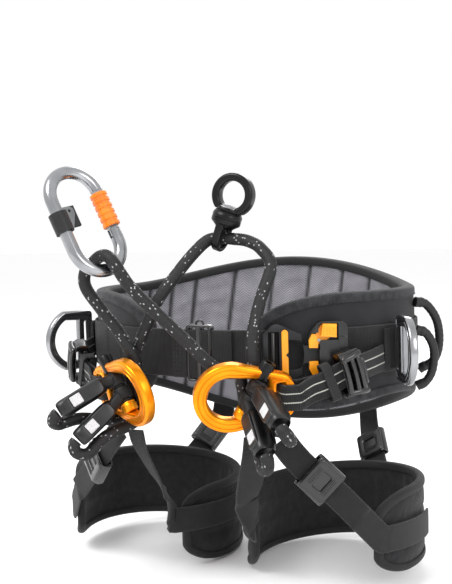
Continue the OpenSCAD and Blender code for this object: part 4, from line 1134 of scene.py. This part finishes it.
def make_frame(name, axes, size, tunnel, body, node, mirror, bars=False):
    """Moulded strap adjuster: a rounded frame with a ribbed, bevelled face plate, or with cross bars in its
    place.
    """
    long, tall, deep = size
    frame_piece = plate(name, rounded_box(tall, deep, min(5, deep / 2 - 0.6)), [rounded_box(*tunnel, 1.5)],
                        rounding(long / 2, 0.55, 3), M["strap_plastic"], across_strap(axes), mirror=mirror)
    place(frame_piece, body, node, slot="strap_plastic")
    if bars:
        for k, (a, b, r) in enumerate((
                ((-9.5, -15, 1), (9.5, -17.5, 1), 3.2), ((-9.5, 15, 1), (9.5, 17.5, 1), 3.2),
                ((-8.2, -16, 2.0), (-8.2, 16, 2.0), 2.5), ((-1, -16, 3.0), (-1, 16, 3.0), 2.3),
                ((5.6, -17, 2.0), (5.6, 17, 2.0), 2.6), ((10.2, -12, 0.2), (10.2, 12, 0.2), 2.0))):
            line = np.linspace(a, b, 15)
            line[:, 2] += 1.4 * np.sin(np.linspace(0, math.pi, 15)) + deep / 2
            bar = rod(f"{name}_bar_{k + 1}", axes(line), r, M["strap_plastic"], sides=18, start=axes.rows[2],
                      mirror=mirror)
            place(bar, body, slot="strap_plastic")
        return
    face = Axes(axes([0, 0, deep / 2]), *axes.rows)
    window = rounded_box(long * 0.34, tall - 20, 1.6)
    cap = plate(name + "_face", rounded_box(long - 1, tall - 4, 4), [window],
                [(1.5, 1.9), (0.7, 1.7), (0.2, 1.2), (0, 0.5), (0, -0.5)], M["strap_plastic"], face,
                mirror=mirror)
    place(cap, body, slot="strap_plastic")
    for k in (-1, 1):
        for step in range(3):
            x = k * (long * 0.27 + 1.5 * step - 1)
            ys = np.linspace(-tall / 2 + 9, tall / 2 - 9, 9)
            line = face(np.column_stack([np.full(9, x), ys, np.full(9, 1.8)]))
            rib = rod(f"{name}_rib_{k + 1}{step}", line, 0.5, M["strap_plastic"], sides=8,
                      start=axes.rows[2], mirror=mirror)
            place(rib, body, slot="strap_plastic")


def make_side_strap(side, mirror):
    """One webbing with two pale tracer threads, from the belt round the ring's bar and back."""
    loop = [RING([u, v, 0]) for u, v in arc(0, 0, 6.4, 270, 90, 24)]
    rear = curve(SIDE_REAR + [tuple(RING([12, -5.5, 0]))], 8)
    front = curve([tuple(RING([12, 5.8, 0]))] + SIDE_FRONT, 8)
    path = np.vstack([rear, loop, front])
    strap = webbing("side_strap_web_" + side, path, [UP, RING_W, RING_W, UP], 25, 2.4, M["tracer"],
                    mirror=mirror, spacing=1.0)
    place(strap, "saddle", "side_strap_" + side, slot="tracer_webbing")
    lines = []
    for u in (13.5, 15.5, 17.5, 19.5):
        ws = np.arange(-10, 10.1, 1.4)
        points = RING(np.stack([np.full(len(ws), u), np.full(len(ws), 7.3), ws], axis=1))
        lines.append((points, np.broadcast_to(RING_V, points.shape)))
    place(stitches("side_strap_tack_" + side, lines, M["thread"], mirror=mirror), "saddle",
          slot="tracer_webbing")
    make_frame("strap_adjuster_" + side, standing((141.1, -106.4, -15.6), 49, -15), (20, 42, 14.6),
               (30, 12.2), "saddle", "strap_buckle_" + side, mirror, bars=True)
    keeper = standing((126, -119, -22.8), 37, -20)
    ring = rounded_box(34, 14, 4)
    path = keeper([(0, y, z) for y, z in ring + ring[:2]])
    band = webbing("strap_keeper_" + side, path, [keeper.rows[0]] * 2, 9, 1.2, M["webbing"], mirror=mirror,
                   spacing=0.8)
    place(band, "saddle", "strap_keepers", slot="strap_plastic")


# ---------------------------------------------------------------- gear loops

GEAR_ROUTES = (
    [(172, 2, 39), (181, 10, 36), (189, 19, 20), (190, 25, -2), (184, 28, -20), (169, 27, -30)],
    [(176, -9, 13), (185, -5, 9), (190, 2, -6), (188, 5, -26), (182, 4, -38), (173, 2, -43)])


def make_gear_loops(side, mirror):
    """Moulded tube with shallow rings, ending in thicker sewn-in collars."""
    for k, route in enumerate(GEAR_ROUTES):
        path, at = resample(curve(route, 12), 0.8)
        from_end = np.minimum(at, at[-1] - at)
        size = 4.2 + 0.12 * np.sin(at * 2 * math.pi / 4.8) + 0.7 * (1 - smooth_share(from_end, 7.5, 9))
        verts = tube_points(path, [0, 1, 0], size, 28)
        loop = outward(build(f"gear_loop_{k + 1}_{side}", verts, grid_faces(len(path), 28), M["gear_tube"],
                             mirror=mirror))
        place(loop, "saddle", "gear_loops_" + side, slot="gear_tube")


# ---------------------------------------------------------------- waist buckle

BUCKLE_TURN = math.radians(28)
BUCKLE_OUT = np.array([math.sin(BUCKLE_TURN), -math.cos(BUCKLE_TURN), 0])
BUCKLE_ALONG = np.array([math.cos(BUCKLE_TURN), math.sin(BUCKLE_TURN), 0])
BELT_REACH = math.hypot((HALF_WIDTH + 13.85) * BUCKLE_OUT[0], (HALF_DEPTH + 13.85) * BUCKLE_OUT[1])
BUCKLE = Axes(BUCKLE_OUT * (BELT_REACH + 0.4) + BUCKLE_ALONG * 39.9, BUCKLE_ALONG, UP, BUCKLE_OUT)
LEVER_SLOTS = (("upper", 1), ("lower", -1))


def make_buckle():
    """Casing with two sprung levers. Each lever has a ribbed finger pad."""
    casing = polished("buckle_housing", M["casing"], 0.7)
    pins = polished("lever_pins", M["steel"], 0.2)
    for name, s in LEVER_SLOTS:
        lever = polished("lever_" + name, M["orange"], 0.5)
        for k in range(5):
            x = 13.2 + k * 2.6
            line = BUCKLE([(x, s * y, 12.65) for y in np.linspace(18.4, 25.6, 9)])
            rib = rod(f"lever_{name}_rib_{k + 1}", line, 0.55, M["orange"], sides=8, start=BUCKLE_OUT)
            place(rib, "lever_" + name, slot="lever_orange")
    rim = plate("casing_rim", [(x, y) for x, y in rounded_box(7.6, 34, 2.4)], [rounded_box(5.4, 31.6, 1.6)],
                [(0.5, 0.6), (0.1, 0.4), (0, 0), (0, -0.4)], M["casing"],
                Axes(BUCKLE([30.2, 0, 11]), *BUCKLE.rows))
    place(rim, "saddle", slot="casing_plastic")


def make_tongue():
    """Tongue plate, roller and release tab on the front webbing."""
    polished("buckle_tongue", M["tongue_metal"], 0.5)
    polished("tongue_tab", M["orange"], 0.5)
    roller = Axes(BUCKLE([-32.3, -20.5, 3.1]), BUCKLE_ALONG, BUCKLE_OUT, UP)
    profile = [(0.1, 0), (2.2, 0), (2.6, 0.5), (2.6, 40.5), (2.2, 41), (0.1, 41)]
    place(lathe("tongue_roller_bar", profile, roller, M["roller"], sides=24), "front_strap", "tongue_roller",
          slot="roller_black")


def make_front_webbing():
    """Waist webbing across the front, doubled where it comes back through the slider."""
    angles = np.linspace(327.6 - 360, 12, 60)
    route = np.vstack([belt_point(angles, FRONT_LAYER, 0),
                       curve([(50, -124.6, 0), (62, -121.8, 0), (76, -117.6, 0)], 6)])
    strap = webbing("front_webbing_strap", route, [UP, UP], 45, 2.4, M["webbing"])
    tuple(belt_point(-31.0, FRONT_LAYER, 0) * MM)
    tuple(belt_point(-9.0, FRONT_LAYER, 0) * MM)
    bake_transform(strap)
    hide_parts("front_webbing")
    route = np.vstack([belt_point(np.linspace(-8, 12, 30), FRONT_LAYER + 2.6, 0)])
    over = webbing("front_webbing_tail", route, [UP, UP], 45, 2.2, M["webbing"])
    place(over, "front_strap", slot="black_webbing")
    lines = []
    for angle in (-7.2, -6.2, -5.2):
        zs = np.arange(-20, 20.1, 1.5)
        a = np.full(len(zs), angle)
        lines.append((belt_point(a, FRONT_LAYER + 3.85, zs), belt_out(a)))
    place(stitches("front_webbing_stitches", lines, M["thread"]), "front_strap", slot="black_webbing")


def make_slider():
    """Ladder slider with two slots for the webbing and a small loop on its top edge."""
    middle = belt_point(1.4, FRONT_LAYER, 0) + [0, 0, 1]
    axes = Axes(middle, [1, 0, 0], UP, [0, -1, 0])
    slots = [[(x + dx, y) for x, y in rounded_box(6.4, 47.6, 1.4)] for dx in (-6.2, 6.2)]
    slider = plate("slider_frame", rounded_box(26, 53, 4), slots, rounding(4.6, 1.6, 4),
                   M["strap_plastic"], axes)
    place(slider, "front_strap", "waist_slider", slot="strap_plastic")
    ring = [tuple(middle + [4 * math.cos(t), 0, 26 + 4 * math.sin(t)]) for t in np.linspace(0, math.pi, 25)]
    place(rod("slider_loop", ring, 1.0, M["strap_plastic"], sides=12), "front_strap", slot="strap_plastic")


# ---------------------------------------------------------------- swivel and carabiner

SWIVEL_LEAN = math.radians(19.5)
SWIVEL = Axes((17, -105, 106), (math.cos(SWIVEL_LEAN), 0, -math.sin(SWIVEL_LEAN)), (0, 1, 0),
              (math.sin(SWIVEL_LEAN), 0, math.cos(SWIVEL_LEAN)))


def hoop(name, radius, section, axes, material, sides=96):
    """A ring about the y axis of axes; section is (outwards, along y) round its bar."""
    turns = np.linspace(0, 2 * math.pi, sides, endpoint=False)
    verts = np.array([[((radius + r) * math.cos(t), h, (radius + r) * math.sin(t)) for r, h in section]
                      for t in turns])
    count = len(section)
    faces = [(i * count + j, i * count + (j + 1) % count, (i + 1) % sides * count + (j + 1) % count,
              (i + 1) % sides * count + j) for i in range(sides) for j in range(count)]
    return outward(build(name, axes(verts.reshape(-1, 3)), faces, material))


def cut_below(obj, point, normal):
    """Takes away what lies below a plane and closes the cut."""
    bm = bmesh.new()
    bm.from_mesh(obj.data)
    everything = bm.verts[:] + bm.edges[:] + bm.faces[:]
    cut = bmesh.ops.bisect_plane(bm, geom=everything, plane_co=Vector(point) * MM,
                                 plane_no=Vector(normal), clear_inner=True)
    edges = [g for g in cut["geom_cut"] if isinstance(g, bmesh.types.BMEdge)]
    bmesh.ops.holes_fill(bm, edges=edges)
    bm.to_mesh(obj.data)
    bm.free()
    return obj


def make_swivel():
    """Lower eye and barrel, then the upper eye that turns on a domed axle."""
    side = Axes(SWIVEL.origin, SWIVEL.rows[1], SWIVEL.rows[2], SWIVEL.rows[0])
    outline = arc(0, 0, 12.5, 190, 350, 40) + [(12.5, 14.5), (-12.5, 14.5)]
    lobe = plate("swivel_lower_eye", outline, [arc(0, 0, 8.9, 0, 351, 39)], rounding(4, 1.5, 5),
                 M["black_metal"], side, hole_levels=rounding(4, 1.3, 4), sharp=50)
    place(lobe, "swivel_lower", "swivel_fork", slot="black_aluminium")
    barrel = [(6.0, 9.6), (8.2, 10.0), (9.6, 11.6), (12.9, 14.2), (13.8, 15.2), (14, 16), (14, 19.4),
              (13.55, 19.6), (13.55, 20.1), (14, 20.3), (14, 22.8), (13.5, 23.8), (12.3, 25.6), (11.9, 26),
              (5.1, 26)]
    place(lathe("swivel_barrel", barrel, SWIVEL, M["black_metal"], sides=64), "swivel_lower",
          slot="black_aluminium")
    polished("swivel_bearing", M["steel"], 0.2)
    section = arc(1.2, 3.4, 2.6, 0, 90, 6) + arc(-1.2, 3.4, 2.6, 90, 180, 6) \
        + arc(-1.2, -3.4, 2.6, 180, 270, 6) + arc(1.2, -3.4, 2.6, 270, 360, 6)
    eye = hoop("swivel_upper_eye", 16.75, section, Axes(SWIVEL([0, 0, 42]), *SWIVEL.rows), M["black_metal"])
    place(cut_below(eye, SWIVEL([0, 0, 26.6]), SWIVEL.rows[2]), "swivel_upper", "swivel_eye",
          slot="black_aluminium")
    collar = [(8.3, 26.5), (11.1, 26.5), (11.6, 26.9), (11.6, 29.4), (11.0, 30.2), (8.3, 30.4), (8.3, 26.5)]
    place(lathe("swivel_eye_collar", collar, SWIVEL, M["black_metal"], sides=64), "swivel_upper",
          slot="black_aluminium")
    dome = [(r, 21.4 + math.sqrt(144 - r * r)) for r in np.linspace(8, 0.1, 12)]
    head = [(0.1, 15.6), (5, 15.6), (5, 28.2), (8, 28.2)] + dome
    place(lathe("swivel_axle_head", head, SWIVEL, M["domed_steel"], sides=48), "swivel_upper", "swivel_axle",
          slot="axle_steel")


CARABINER_UP = unit([-0.43, 0, 0.903])
CARABINER_ACROSS = unit(np.array([0.454, 0.891, 0]) - CARABINER_UP * (CARABINER_UP @ [0.454, 0.891, 0]))
CARABINER = Axes((-83, -180, 124.9), CARABINER_ACROSS, np.cross(CARABINER_UP, CARABINER_ACROSS), CARABINER_UP)


def make_carabiner():
    """Oval carabiner with a locking sleeve, and the clip that keeps it in place on the rope."""
    for node, material, width, slot in (
            ("carabiner_body", "aluminium", 0.5, "bright_aluminium"), ("gate_pin", "steel", 0.2, "pin_steel"),
            ("carabiner_gate", "aluminium", 0.3, "bright_aluminium"),
            ("carabiner_sleeve", "sleeve", 0.5, "sleeve_orange"),
            ("position_bar", "clip", 0.8, "clip_plastic")):
        polished(node, M[material], width)
    cheek = Axes(CARABINER([-20, -5.1, 4]), CARABINER.rows[0], CARABINER.rows[2], -CARABINER.rows[1])
    outline = [(-4, -9), (2, -9), (9, 4), (9, 9), (6, 12), (-4, 12)]
    place(plate("clip_cheek", outline, [arc(4.4, 7.4, 1.5, 0, 330, 11)], rounding(0.8, 0.4, 2),
                M["clip_plate"], cheek), "carabiner", slot="clip_plastic")


# ---------------------------------------------------------------- leg loops

LEG_RX, LEG_RY, LEG_OPENING, LEG_HIGH, LEG_TALL = 78, 82, 44, -128, 78
LEG_STRAP_OUT, LEG_STRAP_AT = 11.6, -169
OUTER_ROUTE = [(84, -131, -75), (93, -131, -86), (105, -127, -100), (127, -116, -122), (149, -108, -146)]
INNER_ROUTE = [(63, -137, -74), (60, -135, -90), (53, -129, -110), (42, -119, -139)]
RISER_ROUTE = [(87, 115, -70), (88, 115.5, -94), (91, 110, -112), (98, 98, -127), (106, 82, -141),
               (112, 68, -152), (113, 64.5, -170)]


def leg_point(angle, out, z):
    """A point on the leg loop's oval, a distance outside it."""
    a, out, z = np.broadcast_arrays(np.radians(angle), out, z)
    return np.stack([98 + (LEG_RX + out) * np.sin(a), -30 - (LEG_RY + out) * np.cos(a), z], axis=-1)


def leg_edges(angle):
    """Lower and upper edge of the pad at an angle."""
    near = np.minimum(angle - LEG_OPENING, 360 - LEG_OPENING - angle)
    t = np.clip(near / 32, 0, 1)
    cut = (1 - np.sqrt(1 - (1 - t) ** 2)) * (LEG_TALL / 2 - 16)
    high = LEG_HIGH - 6 * (1 - np.sin(np.radians(angle)))
    return high - LEG_TALL + cut, high - cut


LEG_LENGTH = distances(leg_point(FINE, 4, 0))


def make_leg_pad(side, mirror):
    """Padded leg cuff: two swollen faces, quilted by three lines, with a folded tape round its edge."""
    columns, rows = 150, 26
    angles = np.linspace(LEG_OPENING + 0.6, 360 - LEG_OPENING - 0.6, columns)
    low, high = leg_edges(angles)
    z = low[:, None] + 1 + np.linspace(0, 1, rows)[None] * (high - low - 2)[:, None]
    angle = np.repeat(angles[:, None], rows, axis=1)
    share = (z - low[:, None]) / (high - low)[:, None]
    seam = np.abs(share[..., None] - np.array([0.36, 0.64])).min(axis=-1) * LEG_TALL
    to_edge = np.minimum(z - low[:, None], high[:, None] - z)
    pinned = np.maximum(seam < 1.7, to_edge < 8).astype(float)
    pinned[[0, 1, 2, -3, -2, -1]] = 1
    lay = np.stack([np.interp(angle, FINE, LEG_LENGTH), z, 0 * z], axis=-1).reshape(-1, 3)
    sheets = []
    for out, sign in ((2.6, -1), (6.6, 1)):
        points = leg_point(angle, out, z)
        sheet = build("leg_sheet", points.reshape(-1, 3), grid_faces(columns, rows, around=False, ends=False),
                      M["lining"])
        outward_here = unit(leg_point(angle[0, 0], 1, 0) - leg_point(angle[0, 0], 0, 0))
        if np.dot(sheet.data.polygons[rows // 2].normal, outward_here) * sign < 0:
            sheet.data.flip_normals()
        inflate(sheet, pinned.ravel(), 2.0, 2.3)
        made = np.array([v.co for v in sheet.data.vertices]) / MM
        sheets.append(made)
        bpy.data.objects.remove(sheet)
    if mirror:
        sheets = [flip(sheet) for sheet in sheets]
    pad = quilt("leg_cuff_" + side, sheets[0], sheets[1], columns, rows, M["leg_fabric"], lay)
    smooth = pad.modifiers.new("fine", "SUBSURF")
    smooth.levels = smooth.render_levels = 1
    place(pad, "saddle", "leg_pad_" + side, slot="leg_fabric")
    bottom = np.stack([np.interp(angles, FINE, LEG_LENGTH), low], axis=1)
    top = np.stack([np.interp(angles, FINE, LEG_LENGTH), high], axis=1)[::-1]
    loop = resample(np.vstack([bottom, top, bottom[:1]]), 2.4)[0][:-1]
    section = np.array([(1.6, 8.0), (0.7, 7.6), (0.2, 5.0), (0.5, 2.4), (1.6, 0.9), (3.0, 0.3), (4.6, 0.0),
                        (6.2, 0.3), (7.6, 0.9), (8.7, 2.4), (9.0, 5.0), (8.5, 7.6), (7.6, 8.0), (7.0, 2.2),
                        (2.2, 2.2)])
    tape, _ = folded_tape("leg_binding_" + side, loop, section,
                          lambda s, out, up: leg_point(np.interp(s, LEG_LENGTH, FINE), out, up), M["tape"],
                          mirror=mirror)
    place(tape, "saddle", slot="binding_tape")


def make_leg_straps(side, mirror):
    """Two straps from the ring's strap down to the cuff, and round it."""
    for name, route, turns, wides in (
            ("outer", OUTER_ROUTE, np.arange(48, 97, 3), [(0.75, 0.3, 0.6), (0.6, 0.3, 0.75), UP, UP, UP]),
            ("inner", INNER_ROUTE, np.arange(322, 267, -3), [(0.9, 0.4, 0.1), (0.8, 0.4, 0.45), UP, UP, UP])):
        path = np.vstack([curve(route, 8), leg_point(turns, LEG_STRAP_OUT, LEG_STRAP_AT)])
        strap = webbing(f"leg_web_{name}_{side}", path, wides, 25, 2.4, M["leg_webbing"], mirror=mirror)
        place(strap, "saddle", f"leg_strap_{name}_{side}", slot="black_webbing")
    make_frame("leg_adjuster_frame_" + side, standing((116, -121, -111), 33, 45), (30, 36, 12), (30, 8),
               "saddle", "leg_adjuster_" + side, mirror)
    riser = webbing("riser_web_" + side, curve(RISER_ROUTE, 8), [(0.9, -0.4, 0)] * 2, 25, 2.4,
                    M["leg_webbing"], mirror=mirror)
    place(riser, "saddle", "rear_risers", slot="black_webbing")
    a, b = np.array(RISER_ROUTE[2], float), np.array(RISER_ROUTE[4], float)
    x = unit(b - a)
    y = unit(np.array([0.9, -0.4, 0]) - x * (np.array([0.9, -0.4, 0]) @ x))
    make_frame("riser_adjuster_frame_" + side, Axes((a + b) / 2, x, y, np.cross(x, y)), (30, 34, 10), (30, 6),
               "saddle", "riser_adjusters", mirror)


# ---------------------------------------------------------------- the whole object

for side, mirror in (("right", False), ("left", True)):
    make_d_ring(side, mirror)
    make_d_tab(side, mirror)
    make_ring_body(side, mirror)
    make_gate_bar(side, mirror)
    for k, end in enumerate(ROPE_ENDS):
        make_rope_end(k + 1, end, side, mirror)
    make_side_strap(side, mirror)
    make_gear_loops(side, mirror)
    make_leg_pad(side, mirror)
    make_leg_straps(side, mirror)
make_lining()
make_shell()
make_binding()
make_waist_webbing()
make_rope("rope_bridge_swivel", SWIVEL_MIDDLE, UPPER_END, (17, -105, 106))
make_rope("rope_bridge_carabiner", CARABINER_MIDDLE, LOWER_END, (-67, -180, 93.5))
make_buckle()
make_tongue()
make_front_webbing()
make_slider()
make_swivel()
make_carabiner()


# ---------------------------------------------------------------- floor, light and camera

FLOOR_HALF, FLOOR_LEVEL = 9000, -219     # just below the leg pads


def make_floor():
    """A plain pale floor under the leg pads."""
    corners = [(x * FLOOR_HALF, y * FLOOR_HALF, FLOOR_LEVEL) for x, y in ((-1, -1), (1, -1), (1, 1), (-1, 1))]
    pale = plastic_material("pale_floor", rgb(0.985, 0.985, 0.985), rgb(0.99, 0.99, 0.99), 0.8)
    build("floor", corners, [(0, 1, 2, 3)], pale)


def make_light(name, at, size, power):
    """A soft square lamp that faces the object."""
    light = bpy.data.lights.new(name, "AREA")
    light.shape = "SQUARE"
    light.size = size
    light.energy = power
    lamp = bpy.data.objects.new(name, light)
    lamp.location = at
    lamp.rotation_euler = Vector(at).to_track_quat("Z", "Y").to_euler()
    bpy.context.scene.collection.objects.link(lamp)


def make_camera():
    """The viewpoint: in front, a little to the wearer's left and just above."""
    target = Vector((-24.56, -8.02, 48.08)) * MM
    back = Vector((0.42159, -0.90410, 0.06976)).normalized()
    camera = bpy.data.objects.new("camera", bpy.data.cameras.new("camera"))
    camera.data.lens = 64.11
    camera.location = target + back * 1.08
    look = (-back).to_track_quat("-Z", "Y")
    camera.rotation_euler = (look @ Quaternion((0, 0, 1), math.radians(-1.5))).to_euler()
    bpy.context.scene.collection.objects.link(camera)
    bpy.context.scene.camera = camera


world = bpy.data.worlds.new("studio")
world.use_nodes = True
world.node_tree.nodes["Background"].inputs["Color"].default_value = (1, 1, 1, 1)
world.node_tree.nodes["Background"].inputs["Strength"].default_value = 1.0
bpy.context.scene.world = world
bpy.context.scene.view_settings.view_transform = "Standard"
make_floor()
make_light("key", (-0.7, -1.2, 1.5), 0.9, 24)
make_light("fill", (1.6, -0.9, 0.7), 0.8, 10)
make_light("back", (-0.3, 1.5, 1.2), 1.0, 16)
make_camera()
